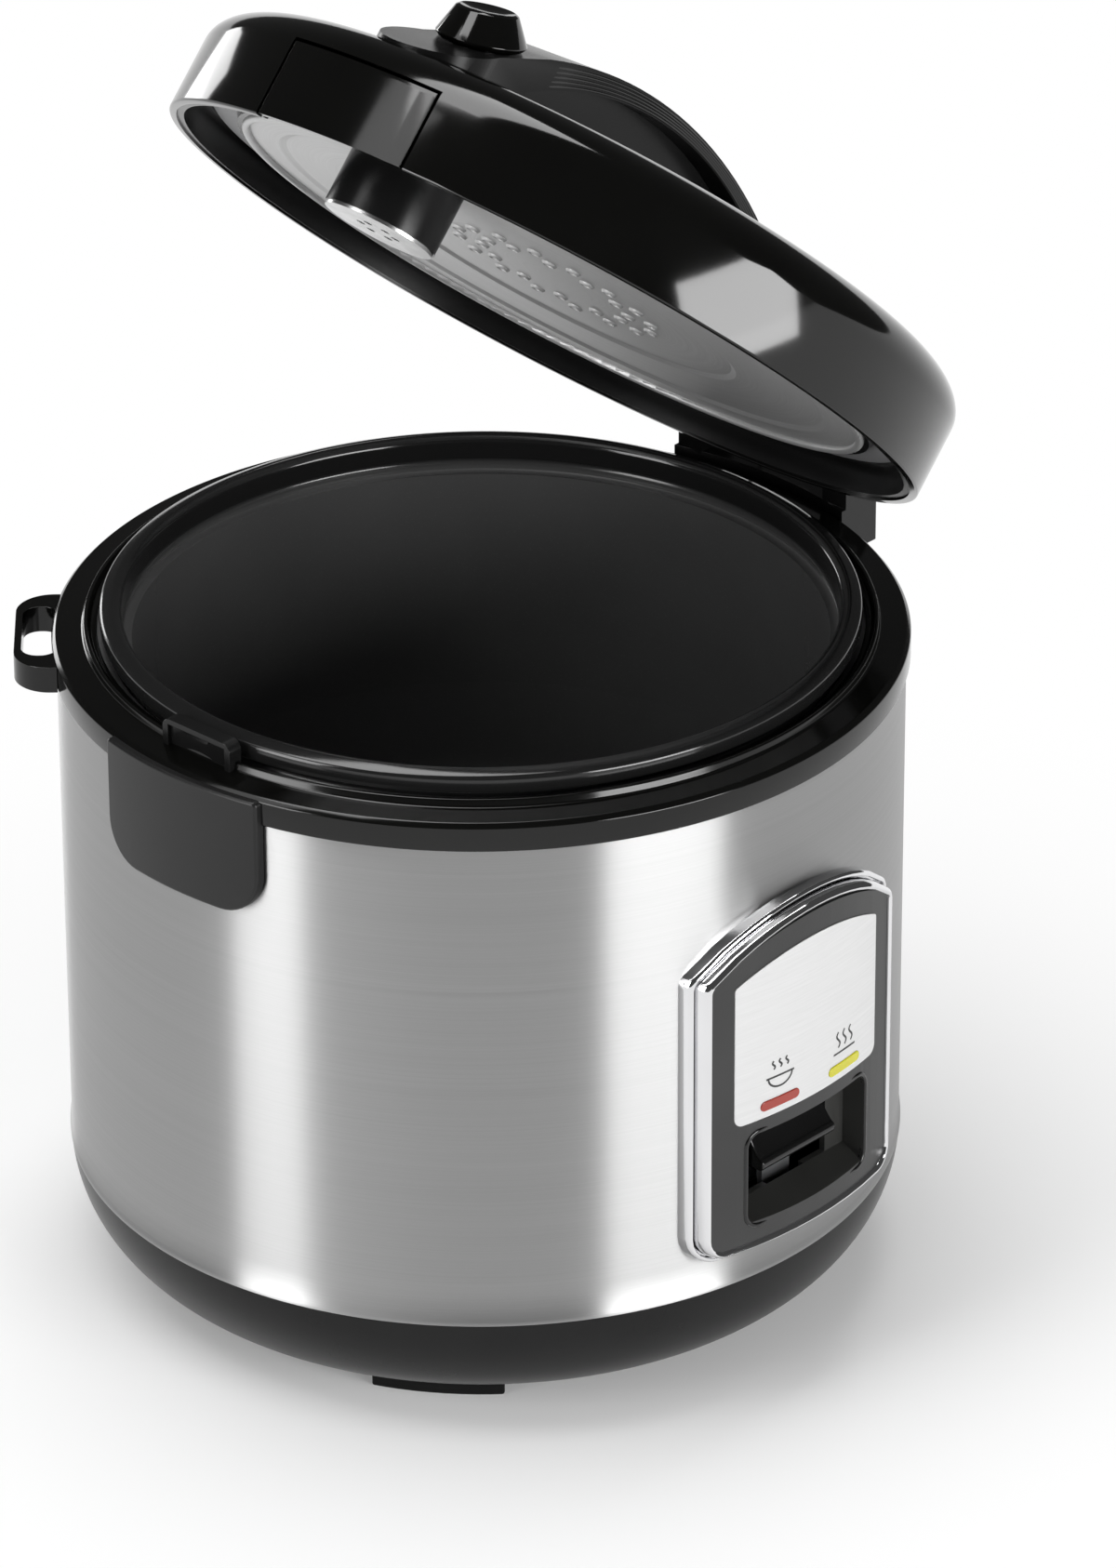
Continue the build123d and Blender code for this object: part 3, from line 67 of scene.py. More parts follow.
def rounded(corners, steps=6):
    """Points of a closed outline; a corner with a third number gets an arc of that radius."""
    points = []
    for i, corner in enumerate(corners):
        here = Vector(corner[:2])
        if len(corner) == 2:
            points.append(tuple(here))
            continue
        back = (Vector(corners[i - 1][:2]) - here).normalized()
        on = (Vector(corners[(i + 1) % len(corners)][:2]) - here).normalized()
        half = back.angle(on) / 2
        centre = here + (back + on).normalized() * (corner[2] / math.sin(half))
        first = here + back * (corner[2] / math.tan(half)) - centre
        last = here + on * (corner[2] / math.tan(half)) - centre
        start = math.atan2(first.y, first.x)
        sweep = (math.atan2(last.y, last.x) - start + math.pi) % math.tau - math.pi
        for k in range(steps + 1):
            a = start + sweep * k / steps
            points.append((centre.x + corner[2] * math.cos(a), centre.y + corner[2] * math.sin(a)))
    return points


def arc(centre, radii, start, end, steps):
    """Points on an ellipse's arc, angles in degrees."""
    turns = [math.radians(start + (end - start) * k / steps) for k in range(steps + 1)]
    return [(centre[0] + radii[0] * math.cos(a), centre[1] + radii[1] * math.sin(a)) for a in turns]


def turn(name, section, steps=180, place=BODY, gaps=()):
    """A piece turned from (radius, height) points. A gap (first step, last step, outer run and inner
    run of point numbers) is a window through its wall, closed at its edges."""
    bm = bmesh.new()
    columns = []
    for k in range(steps):
        c, s = math.cos(math.tau * k / steps) * MM, math.sin(math.tau * k / steps) * MM
        columns.append([bm.verts.new((r * c, r * s, z * MM)) for r, z in section])
    count = len(section)
    for k in range(steps):
        here, there = columns[k], columns[(k + 1) % steps]
        gone = set()
        for first, last, outer, inner in gaps:
            if first <= k < last:
                for run in (outer, inner):
                    gone |= {frozenset(pair) for pair in zip(run, run[1:])}
                for a, b in ((outer[0], inner[0]), (outer[-1], inner[-1])):
                    if abs(a - b) in (1, count - 1):
                        gone.add(frozenset((a, b)))
                    else:
                        bm.faces.new((here[a], there[a], there[b], here[b]))
        for i in range(count):
            j = (i + 1) % count
            if frozenset((i, j)) not in gone:
                bm.faces.new((here[i], there[i], there[j], here[j]))
    for first, last, outer, inner in gaps:
        for k in (first, last):
            column = columns[k % steps]
            for a, b, c, d in zip(outer, outer[1:], inner[1:], inner):
                bm.faces.new((column[a], column[b], column[c], column[d]))
    return piece(name, bm, place)


def fit(made, material, body, slot, *nodes):
    """Gives a piece its material, its body and the nodes that it stands for; the slot argument is not used.
    """
    made.data.materials.clear()
    made.data.materials.append(material)
    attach(made, body)
    if nodes:
        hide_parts(*nodes)
    return made


def group(name, inputs, outputs):
    """An empty node group with its sockets; gives the tree and its two end nodes."""
    tree = bpy.data.node_groups.new(name, "ShaderNodeTree")
    for label, kind, value in inputs:
        tree.interface.new_socket(name=label, in_out="INPUT", socket_type=kind).default_value = value
    for label, kind in outputs:
        tree.interface.new_socket(name=label, in_out="OUTPUT", socket_type=kind)
    return tree, tree.nodes.new("NodeGroupInput"), tree.nodes.new("NodeGroupOutput")


def node(tree, kind, settings=(), values=(), links=()):
    """A node with its settings, socket values and incoming links."""
    made = tree.nodes.new(kind)
    for key, value in dict(settings).items():
        setattr(made, key, value)
    for key, value in dict(values).items():
        made.inputs[key].default_value = value
    for key, source in dict(links).items():
        tree.links.new(source, made.inputs[key])
    return made


# Moulded grain: two tones in broad soft clouds, roughness that follows them, and a fine height.
SKIN_OUTPUTS = [("Colour", "NodeSocketColor"), ("Roughness", "NodeSocketFloat"),
                ("Height", "NodeSocketFloat")]
GRAIN, grain_in, grain_out = group(
    "moulded_grain",
    [("Dark", "NodeSocketColor", (0.02, 0.02, 0.02, 1)),
     ("Pale", "NodeSocketColor", (0.03, 0.03, 0.03, 1)),
     ("Shine", "NodeSocketFloat", 0.3),
     ("Matt", "NodeSocketFloat", 0.45),
     ("Fineness", "NodeSocketFloat", 1400.0)],
    SKIN_OUTPUTS)
grain_at = node(GRAIN, "ShaderNodeTexCoord").outputs["Object"]
grain_cloud = node(GRAIN, "ShaderNodeTexNoise", (), {"Scale": 30.0, "Detail": 2.0}, {"Vector": grain_at})
grain_step = node(GRAIN, "ShaderNodeMapRange", (), {"From Min": 0.2, "From Max": 0.8},
                  {"Value": grain_cloud.outputs["Fac"]})
grain_mix = node(GRAIN, "ShaderNodeMix", {"data_type": "RGBA"}, (),
                 {0: grain_step.outputs[0], 6: grain_in.outputs["Dark"], 7: grain_in.outputs["Pale"]})
grain_rough = node(GRAIN, "ShaderNodeMix", (), (),
                   {0: grain_step.outputs[0], 2: grain_in.outputs["Shine"], 3: grain_in.outputs["Matt"]})
grain_fine = node(GRAIN, "ShaderNodeTexNoise", (), {"Detail": 3.0, "Roughness": 0.6},
                  {"Vector": grain_at, "Scale": grain_in.outputs["Fineness"]})
GRAIN.links.new(grain_mix.outputs[2], grain_out.inputs["Colour"])
GRAIN.links.new(grain_rough.outputs[0], grain_out.inputs["Roughness"])
GRAIN.links.new(grain_fine.outputs["Fac"], grain_out.inputs["Height"])


def skinned(name, skin_group, values, bump, depth, sockets):
    """A material whose colour, roughness and fine height come from a node group, with its tree and the
    group's node. Sockets that are the same all over are set on the shader itself."""
    made = bpy.data.materials.new(name)
    made.use_nodes = True
    tree = made.node_tree
    shader = tree.nodes["Principled BSDF"]
    for key, value in sockets.items():
        shader.inputs[key.replace("_", " ")].default_value = value
    skin = node(tree, "ShaderNodeGroup", {"node_tree": skin_group}, values)
    relief = node(tree, "ShaderNodeBump", (), {"Strength": bump, "Distance": depth},
                  {"Height": skin.outputs["Height"]})
    tree.links.new(skin.outputs["Colour"], shader.inputs["Base Color"])
    tree.links.new(skin.outputs["Roughness"], shader.inputs["Roughness"])
    tree.links.new(relief.outputs["Normal"], shader.inputs["Normal"])
    return made, tree, skin


GRAIN_DEPTH = 0.0002


def moulded(name, dark, pale, shine, matt, bump=0.1, fineness=1400.0, **sockets):
    """Plastic, rubber or enamel with the moulded grain; other words set the shader's own sockets."""
    tones = {"Dark": (*dark, 1), "Pale": (*pale, 1), "Shine": shine, "Matt": matt, "Fineness": fineness}
    return skinned(name, GRAIN, tones, bump, GRAIN_DEPTH, sockets)[0]


base_plastic = moulded("base_plastic", (0.006, 0.006, 0.006), (0.009, 0.009, 0.009), 0.26, 0.33, 0.08,
                       Specular_IOR_Level=0.22)
base_centre, base_radius, base_wall = (89.1, 39.6), 36.1, 2.5
base_section = [(70.1, 6.0), (70.1, 3.5)]
base_section += arc(base_centre, (base_radius, base_radius), 270, 357, 26)
base_section += [(125.2, 39.2), (124.9, 39.6), (124.3, 39.6), (124.3, 47.6), (122.7, 47.6), (122.7, 39.6)]
base_section += arc(base_centre, (base_radius - base_wall, base_radius - base_wall), 355, 270, 20)
fit(turn("base_bowl", base_section), base_plastic, "body", "base_plastic", "base_shell")

# Bottom plate, screws and feet: pressed zinc coated sheet with cooling slots, held under the base by
# four plated screws, and four soft black feet. The zinc has faint patches; the screws are brighter.
GLINT, glint_in, glint_out = group(
    "metal_patches",
    [("Tone", "NodeSocketColor", (0.6, 0.6, 0.6, 1)),
     ("Shade", "NodeSocketColor", (0.5, 0.5, 0.5, 1)),
     ("Scale", "NodeSocketFloat", 90.0),
     ("Shine", "NodeSocketFloat", 0.25),
     ("Matt", "NodeSocketFloat", 0.4)],
    SKIN_OUTPUTS)
glint_at = node(GLINT, "ShaderNodeTexCoord").outputs["Object"]
glint_cells = node(GLINT, "ShaderNodeTexVoronoi", (), (),
                   {"Vector": glint_at, "Scale": glint_in.outputs["Scale"]})
glint_cloud = node(GLINT, "ShaderNodeTexNoise", (), {"Detail": 5.0},
                   {"Vector": glint_at, "Scale": glint_in.outputs["Scale"]})
glint_part = node(GLINT, "ShaderNodeMath", {"operation": "MULTIPLY"}, (),
                  {0: glint_cells.outputs["Distance"], 1: glint_cloud.outputs["Fac"]})
glint_mix = node(GLINT, "ShaderNodeMix", {"data_type": "RGBA"}, (),
                 {0: glint_part.outputs[0], 6: glint_in.outputs["Tone"], 7: glint_in.outputs["Shade"]})
glint_rough = node(GLINT, "ShaderNodeMix", (), (),
                   {0: glint_cloud.outputs["Fac"], 2: glint_in.outputs["Shine"], 3: glint_in.outputs["Matt"]})
GLINT.links.new(glint_mix.outputs[2], glint_out.inputs["Colour"])
GLINT.links.new(glint_rough.outputs[0], glint_out.inputs["Roughness"])
GLINT.links.new(glint_cloud.outputs["Fac"], glint_out.inputs["Height"])


def metal(name, tone, shade, shine, matt, scale, bump=0.04):
    """Bare or plated metal with faint patches."""
    tones = {"Tone": (*tone, 1), "Shade": (*shade, 1), "Shine": shine, "Matt": matt, "Scale": scale}
    return skinned(name, GLINT, tones, bump, GRAIN_DEPTH, {"Metallic": 1.0})[0]


def coat(material, slot, *nodes):
    """Gives CAD pieces whose shape is right their material; the slot argument is not used."""
    for name in nodes:
        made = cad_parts[name]
        made.data.materials.clear()
        made.data.materials.append(material)


zinc = metal("zinc_sheet", (0.52, 0.53, 0.54), (0.40, 0.41, 0.43), 0.30, 0.46, 120.0)
screw_steel = metal("screw_steel", (0.62, 0.61, 0.60), (0.5, 0.5, 0.5), 0.2, 0.32, 400.0)
coat(zinc, "zinc_sheet", "bottom_plate", "sensor_bracket", "lever_bracket", "lever_arm")
coat(screw_steel, "screw_steel", "base_screws", "case_screws", "lid_screws")

foot_plastic = moulded("foot_plastic", (0.006, 0.006, 0.006), (0.009, 0.009, 0.009), 0.42, 0.6, 0.2,
                       Specular_IOR_Level=0.12)


def ease(made, width, angle=40, segments=3):
    """Rounds a piece's edges by a bevel that keeps its faces flat."""
    bevel = made.modifiers.new("edges", "BEVEL")
    bevel.width = width * MM
    bevel.segments = segments
    bevel.limit_method = "ANGLE"
    bevel.angle_limit = math.radians(angle)
    bevel.harden_normals = True
    return made


def softened(node_name, width):
    """A copy of a moulded CAD piece with its edges rounded."""
    bm = bmesh.new()
    bm.from_mesh(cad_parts[node_name].data)
    bmesh.ops.remove_doubles(bm, verts=bm.verts, dist=1e-6)
    bmesh.ops.dissolve_limit(bm, angle_limit=math.radians(1.2), verts=bm.verts, edges=bm.edges)
    return ease(piece(node_name + "_moulded", bm, BODY), width)


fit(softened("feet", 0.8), foot_plastic, "body", "foot_plastic", "feet")

# Steel wrap: thin stainless sheet rolled into a tube, brushed round the body. Its lower edge is curled
# out and stands on the base, its upper edge goes into the ring, and the panel and the inlet stand in
# windows cut in it.
BRUSH, brush_in, brush_out = group(
    "brushing",
    [("Place", "NodeSocketVector", (0, 0, 0)),
     ("Tone", "NodeSocketColor", (0.5, 0.5, 0.5, 1)),
     ("Shade", "NodeSocketColor", (0.4, 0.4, 0.4, 1)),
     ("Shine", "NodeSocketFloat", 0.25),
     ("Matt", "NodeSocketFloat", 0.35)],
    SKIN_OUTPUTS)
brush_fine = node(BRUSH, "ShaderNodeTexNoise", (), {"Scale": 1.0, "Detail": 3.0, "Roughness": 0.55},
                  {"Vector": brush_in.outputs["Place"]})
brush_step = node(BRUSH, "ShaderNodeMapRange", (), {"From Min": 0.3, "From Max": 0.7},
                  {"Value": brush_fine.outputs["Fac"]})
brush_mix = node(BRUSH, "ShaderNodeMix", {"data_type": "RGBA"}, (),
                 {0: brush_step.outputs[0], 6: brush_in.outputs["Tone"], 7: brush_in.outputs["Shade"]})
brush_rough = node(BRUSH, "ShaderNodeMix", (), (),
                   {0: brush_step.outputs[0], 2: brush_in.outputs["Shine"], 3: brush_in.outputs["Matt"]})
BRUSH.links.new(brush_mix.outputs[2], brush_out.inputs["Colour"])
BRUSH.links.new(brush_rough.outputs[0], brush_out.inputs["Roughness"])
BRUSH.links.new(brush_fine.outputs["Fac"], brush_out.inputs["Height"])
BRUSH_DEPTH = 0.0001


def brushed(name, tone, shade, shine, matt, bump, **sockets):
    """Metal whose brushing is laid along the vector that is linked to the group's Place socket later."""
    tones = {"Tone": (*tone, 1), "Shade": (*shade, 1), "Shine": shine, "Matt": matt}
    return skinned(name, BRUSH, tones, bump, BRUSH_DEPTH, {"Metallic": 1.0, **sockets})


wrap_steel, wrap_tree, wrap_skin = brushed(
    "wrap_steel", (0.43, 0.43, 0.43), (0.40, 0.40, 0.40), 0.32, 0.35, 0.02,
    Anisotropic=1.0, Anisotropic_Rotation=0.25)
wrap_at = node(wrap_tree, "ShaderNodeTexCoord").outputs["Object"]
wrap_place = node(wrap_tree, "ShaderNodeMapping", (), {"Scale": (5.0, 5.0, 5200.0)}, {"Vector": wrap_at})
wrap_tree.links.new(wrap_place.outputs[0], wrap_skin.inputs["Place"])
wrap_outer, wrap_inner, wrap_curl = 125.0, 124.4, 125.5
wrap_low, wrap_high = 39.6, 199.2
inlet_low, panel_low, inlet_high, panel_high = 51.0, 58.0, 75.0, 140.5
window_levels = [inlet_low, panel_low, inlet_high, panel_high]
wrap_section = [(wrap_inner, wrap_low), (wrap_curl, wrap_low), (wrap_curl, 40.8), (wrap_outer, 41.6)]
wrap_section += [(wrap_outer, z) for z in window_levels]
wrap_section += [(wrap_outer, wrap_high), (wrap_inner, wrap_high)]
wrap_section += [(wrap_inner, z) for z in reversed(window_levels)]
panel_window = (169, 191, (5, 6, 7), (12, 11, 10))
inlet_window = (55, 65, (4, 5, 6), (13, 12, 11))
wrap = turn("wrap_sheet", wrap_section, 240, gaps=[panel_window, inlet_window])
fit(wrap, wrap_steel, "body", "wrap_steel", "steel_wrap")

# Upper ring: gloss black moulding between wrap and pot. A band laps over the wrap's upper edge, the top
# slopes inwards, and a raised bead stands round the pot's rim.
ring_gloss = moulded("ring_gloss", (0.002, 0.002, 0.0018), (0.003, 0.003, 0.0027), 0.10, 0.14, 0.01, 700.0,
                     Specular_IOR_Level=0.38)
ring_section = rounded([
    (112.9, 203.6), (112.9, 207.0, 0.3), (114.6, 207.4, 0.6), (115.7, 208.8, 0.5), (116.8, 208.8, 0.5),
    (117.2, 206.5, 0.8), (125.0, 205.8, 1.0), (126.3, 204.5, 0.8), (126.3, 197.0, 0.5), (125.15, 197.0),
    (125.15, 199.2), (124.25, 199.2), (124.25, 197.5), (121.9, 197.5), (121.9, 203.6)], 4)
fit(turn("ring_band", ring_section, 240), ring_gloss, "body", "ring_gloss", "upper_ring")


# Latch apron: satin black tongue, moulded with round lower corners and bent to the body's curve.
# It hangs from the ring over the steel below the latch.
def bent_plate(name, outline, inner, outer, facing, cuts=16):
    """A plate bent round the body's axis from an outline of (sideways, z) points, facing in degrees."""
    flat = bmesh.new()
    flat.faces.new([flat.verts.new((u, 0, z)) for u, z in outline])
    low, high = min(p[0] for p in outline), max(p[0] for p in outline)
    for k in range(1, cuts):
        cut = low + (high - low) * k / cuts
        bmesh.ops.bisect_plane(flat, geom=flat.verts[:] + flat.edges[:] + flat.faces[:],
                               plane_co=(cut, 0, 0), plane_no=(1, 0, 0))
    away = Vector((math.cos(math.radians(facing)), math.sin(math.radians(facing)), 0))
    side = Vector((-away.y, away.x, 0))
    bm = bmesh.new()
    sheets = []
    for radius in (outer, inner):
        sheets.append({v: bm.verts.new((away * math.sqrt(radius ** 2 - v.co.x ** 2) + side * v.co.x
                                        + Vector((0, 0, v.co.z))) * MM) for v in flat.verts})
    for face in flat.faces:
        for sheet in sheets:
            bm.faces.new([sheet[v] for v in face.verts])
    for edge in flat.edges:
        if edge.is_boundary:
            a, b = edge.verts
            bm.faces.new((sheets[0][a], sheets[0][b], sheets[1][b], sheets[1][a]))
    flat.free()
    return piece(name, bm, BODY)


apron_satin = moulded("apron_satin", (0.007, 0.007, 0.007), (0.010, 0.010, 0.010), 0.32, 0.38, 0.06, 1800.0,
                      Specular_IOR_Level=0.35)
apron_half, apron_low, apron_high, apron_corner = 30, 167, 204.8, 13
apron_back, apron_front = 125.02, 128.55
LATCH_SIDE = 180
apron_outline = rounded([(-apron_half, apron_high, 1.5), (-apron_half, apron_low, apron_corner),
                         (apron_half, apron_low, apron_corner), (apron_half, apron_high, 1.5)], 10)
apron = bent_plate("apron_plate", apron_outline, apron_back, apron_front, LATCH_SIDE)
fit(ease(apron, 1.2, 50, 4), apron_satin, "body", "apron_satin", "latch_apron")

# Lid catch, spatula holder and hinge bracket: black mouldings fixed round the ring. The catch block
# stands behind the latch, the loop holds a spatula, and the bracket's two ears carry the steel hinge
# pin with its wound spring.
frame_black = moulded("frame_black", (0.005, 0.005, 0.005), (0.008, 0.008, 0.008), 0.20, 0.28, 0.05, 1500.0,
                      Specular_IOR_Level=0.3)
fit(softened("lid_catch", 0.5), frame_black, "body", "frame_black", "lid_catch")
fit(softened("spatula_holder", 1.0), ring_gloss, "body", "ring_gloss", "spatula_holder")
fit(softened("hinge_bracket", 0.9), frame_black, "body", "frame_black", "hinge_bracket")
pin_steel = metal("pin_steel", (0.60, 0.60, 0.60), (0.5, 0.5, 0.5), 0.14, 0.24, 300.0)
spring_steel = metal("spring_steel", (0.46, 0.45, 0.44), (0.36, 0.36, 0.35), 0.24, 0.36, 500.0)
coat(pin_steel, "pin_steel", "hinge_pin", "lever_pin", "latch_pin")
coat(spring_steel, "spring_steel", "lid_spring", "plunger_spring", "latch_spring")

# Inside of the body: a drawn aluminium case round the pot, the cast aluminium heating plate with the
# thermostat in its middle, and the switch below. They are hardly seen and keep their CAD shapes.
case_aluminium = metal("case_aluminium", (0.66, 0.66, 0.66), (0.54, 0.54, 0.55), 0.3, 0.45, 60.0)
heater_aluminium = metal("heater_aluminium", (0.60, 0.60, 0.59), (0.46, 0.46, 0.46), 0.36, 0.5, 500.0, 0.3)
brass = metal("terminal_brass", (0.72, 0.55, 0.26), (0.56, 0.40, 0.18), 0.24, 0.4, 300.0)
ceramic = moulded("spacer_ceramic", (0.70, 0.68, 0.62), (0.78, 0.76, 0.70), 0.5, 0.65, 0.2)
insulator = moulded("insulator_plastic", (0.58, 0.56, 0.50), (0.66, 0.64, 0.58), 0.4, 0.55, 0.1)
laminate = moulded("board_laminate", (0.34, 0.23, 0.10), (0.42, 0.30, 0.14), 0.45, 0.6, 0.1)
magnet_iron = metal("magnet_iron", (0.24, 0.24, 0.25), (0.18, 0.18, 0.19), 0.4, 0.55, 300.0)
coat(case_aluminium, "case_aluminium", "inner_liner")
coat(zinc, "zinc_sheet", "thermostat_housing")
coat(heater_aluminium, "heater_aluminium", "heating_plate", "thermostat_cap")
coat(brass, "terminal_brass", "heater_terminals", "inlet_pins")
coat(ceramic, "spacer_ceramic", "heater_supports", "thermal_fuse")
coat(insulator, "insulator_plastic", "micro_switch", "terminal_block")
coat(laminate, "board_laminate", "lamp_board")
coat(magnet_iron, "magnet_iron", "magnet_plunger")

# Inlet socket: black moulded mains inlet, set in the wrap's window at the back.
# Its two round pins are brass and stand inside it.
fit(softened("inlet_socket", 0.6), frame_black, "body", "frame_black", "inlet_socket")

# Inner pot: drawn from aluminium sheet and sprayed with dark grey non-stick that has a fine pale fleck.
# Its rim is rolled out over the ring's bead and polished, and its colour there is darkened to near black: a
# painted shade for the dark room that the glossy flange mirrors.
pot_nonstick = moulded("pot_nonstick", (0.062, 0.062, 0.062), (0.070, 0.070, 0.070), 0.22, 0.26,
                       0.03, 2200.0)
pot_tree = pot_nonstick.node_tree
pot_shader = pot_tree.nodes["Principled BSDF"]
pot_skin = pot_shader.inputs["Base Color"].links[0].from_node
pot_at = node(pot_tree, "ShaderNodeTexCoord").outputs["Object"]
pot_fleck = node(pot_tree, "ShaderNodeTexVoronoi", (), {"Scale": 900.0}, {"Vector": pot_at})
pot_spot = node(pot_tree, "ShaderNodeMapRange", (), {"From Min": 0.22, "From Max": 0.1},
                {"Value": pot_fleck.outputs["Distance"]})
pot_share = node(pot_tree, "ShaderNodeMath", {"operation": "MULTIPLY"}, {1: 0.35},
                 {0: pot_spot.outputs[0]})
pot_mix = node(pot_tree, "ShaderNodeMix", {"data_type": "RGBA"}, {7: (0.10, 0.10, 0.10, 1)},
               {0: pot_share.outputs[0], 6: pot_skin.outputs["Colour"]})
pot_parts = node(pot_tree, "ShaderNodeSeparateXYZ", (), (), {0: pot_at})
# Above this height the colour fades to near black, a painted shade on the rim, while the lower roughness is
# the rim's real polish.
RIM_STARTS, RIM_FULL = 0.204, 0.207
pot_rim = node(pot_tree, "ShaderNodeMapRange", (), {"From Min": RIM_STARTS, "From Max": RIM_FULL},
               {"Value": pot_parts.outputs["Z"]})
pot_tone_and_rim_shade = node(pot_tree, "ShaderNodeMix", {"data_type": "RGBA"}, {7: (0.010, 0.010, 0.010, 1)},
                {0: pot_rim.outputs[0], 6: pot_mix.outputs[2]})
pot_polish = node(pot_tree, "ShaderNodeMix", (), {3: 0.12},
                  {0: pot_rim.outputs[0], 2: pot_skin.outputs["Roughness"]})
pot_tree.links.new(pot_tone_and_rim_shade.outputs[2], pot_shader.inputs["Base Color"])
pot_tree.links.new(pot_polish.outputs[0], pot_shader.inputs["Roughness"])
pot_floor, pot_flat, pot_wall = 82.0, 60.0, 1.6
bend_x, bend_z, pot_bend = 80.6, 106.0, (24.0, 24.0)
pot_section = [(0.0, pot_floor), (pot_flat, pot_floor)] + arc((bend_x, bend_z), pot_bend, 270, 360, 14)
pot_section += rounded([
    (104.6, 202.4, 3.0), (107.1, 205.6, 2.0), (107.1, 210.6, 1.2), (108.2, 212.2, 1.2),
    (110.8, 211.2, 0.6), (110.8, 208.2, 0.3), (112.0, 208.2, 0.3), (112.0, 213.0, 1.6),
    (108.2, 214.6, 1.8), (105.5, 213.2, 2.2), (105.5, 206.0, 2.0), (103.0, 202.8, 3.0)], 4)
pot_section += arc((bend_x - pot_wall, bend_z + pot_wall), pot_bend, 360, 270, 14)
pot_section += [(pot_flat, pot_floor + pot_wall), (0.0, pot_floor + pot_wall)]
fit(turn("pot_bowl", pot_section, 200), pot_nonstick, "pot", "pot_nonstick", "inner_pot")

# Control panel: tall arched panel on the front, bent to the body's curve and set in the wrap's
# window. A chromed frame with a step and a round crest holds a charcoal grained face, a pale metal
# label with two lamps, and a pocket with the gloss black switch paddle.
def arched(inset):
    """Outline of the panel, set in by some millimetres: straight sides, round corners, arched top."""
    wide, bottom, side, peak, middle = 42.9, 51.5, 147.0, 163.7, 100.0
    low_corner, top_corner, smallest = 10.0, 5.0, 1.0
    half = wide - inset
    sweep = (wide ** 2 + (peak - side) ** 2) / (2 * (peak - side))

    def crown(x):
        """Height of the arched top at a distance from the middle."""
        return peak - sweep + math.sqrt((sweep - inset) ** 2 - x ** 2)

    low = max(low_corner - inset, smallest)
    top = max(top_corner - inset * 0.5, smallest)
    corners = [(half * k / 5, bottom + inset) for k in range(-3, 4)]
    corners += [(half, bottom + inset, low), (half, middle), (half, crown(half), top)]
    corners += [(half * k / 8, crown(half * k / 8)) for k in range(6, -7, -1)]
    corners += [(-half, crown(half), top), (-half, middle), (-half, bottom + inset, low)]
    return rounded(corners, 6)


def on_front(x, z, radius):
    """A point of the panel in metres, bent round the body."""
    return Vector((x, -math.sqrt(radius ** 2 - x ** 2), z)) * MM


chrome = metal("bezel_chrome", (0.80, 0.80, 0.81), (0.74, 0.74, 0.75), 0.05, 0.09, 60.0, 0.01)


def edging(name, outline, profile):
    """A moulding round the panel: loops of an outline at growing insets, each on its own radius."""
    bm = bmesh.new()
    loops = []
    for inset, radius in profile:
        loops.append([bm.verts.new(on_front(x, z, radius)) for x, z in outline(inset)])
    for here, there in zip(loops, loops[1:]):
        for i in range(len(here)):
            j = (i + 1) % len(here)
            bm.faces.new((here[i], here[j], there[j], there[i]))
    return piece(name, bm, BODY, 50)


bezel_step = [(0.0, 124.7), (0.0, 128.0), (0.25, 128.8), (0.7, 129.2), (1.3, 129.2), (1.6, 128.9)]
bezel_groove = [(1.75, 128.0), (1.9, 127.2), (2.15, 127.2), (2.25, 128.5)]
bezel_crest = [(2.3, 131.0), (2.7, 132.3), (3.4, 132.9), (4.1, 132.7), (4.6, 131.9), (4.8, 130.6)]
bezel_crest += [(4.9, 126.0)]
bezel_profile = bezel_step + bezel_groove + bezel_crest
fit(edging("bezel_frame", arched, bezel_profile), chrome, "body", "bezel_chrome", "panel_bezel")

panel_charcoal = moulded("panel_charcoal", (0.022, 0.022, 0.022), (0.030, 0.030, 0.030), 0.36, 0.44,
                         0.12, 1500.0, Specular_IOR_Level=0.42)
face = fit(softened("panel_face", 0.5), panel_charcoal, "body", "panel_charcoal", "panel_face")
paddle_gloss = moulded("paddle_gloss", (0.004, 0.004, 0.004), (0.006, 0.006, 0.006), 0.12, 0.18, 0.01, 700.0)
pocket_satin = moulded("pocket_satin", (0.027, 0.027, 0.0255), (0.035, 0.035, 0.033), 0.26, 0.34,
                       0.06, 1500.0)
face.data.materials.append(pocket_satin)
POCKET_HALF, POCKET_LOW, POCKET_HIGH, POCKET_CORNER, POCKET_MOUTH = 27.0, 60.4, 93.6, 5.6, 131.0
for facet in face.data.polygons:
    x, y, z = facet.center / MM
    sunk = math.hypot(x, y) < POCKET_MOUTH
    if sunk and abs(x) < POCKET_HALF - 1.4 and POCKET_LOW + 1.1 < z < POCKET_HIGH - 1.1:
        facet.material_index = 1


def pocket_outline(inset):
    """Outline of the switch pocket's mouth, set in by some millimetres."""
    half, low, high = POCKET_HALF - inset, POCKET_LOW + inset, POCKET_HIGH - inset
    corner = POCKET_CORNER - inset
    return rounded([(half, low, corner), (half, high, corner),
                    (-half, high, corner), (-half, low, corner)], 6)


lip_profile = [(0.0, 131.5), (0.05, 131.9), (0.4, 132.15), (1.1, 132.15), (1.5, 131.8), (1.6, 130.5)]
fit(edging("pocket_lip", pocket_outline, lip_profile), paddle_gloss, "body", "paddle_gloss")

# The label is pale sheet with a fine satin brushing across it, laid in the face.
label_silver, label_tree, label_skin = brushed(
    "label_silver", (0.63, 0.63, 0.63), (0.59, 0.59, 0.59), 0.45, 0.55, 0.02, Metallic=0.2)
label_at = node(label_tree, "ShaderNodeTexCoord").outputs["Object"]
label_place = node(label_tree, "ShaderNodeMapping", (), {"Scale": (60.0, 60.0, 1800.0)}, {"Vector": label_at})
label_tree.links.new(label_place.outputs[0], label_skin.inputs["Place"])
coat(label_silver, "label_silver", "label_plate")

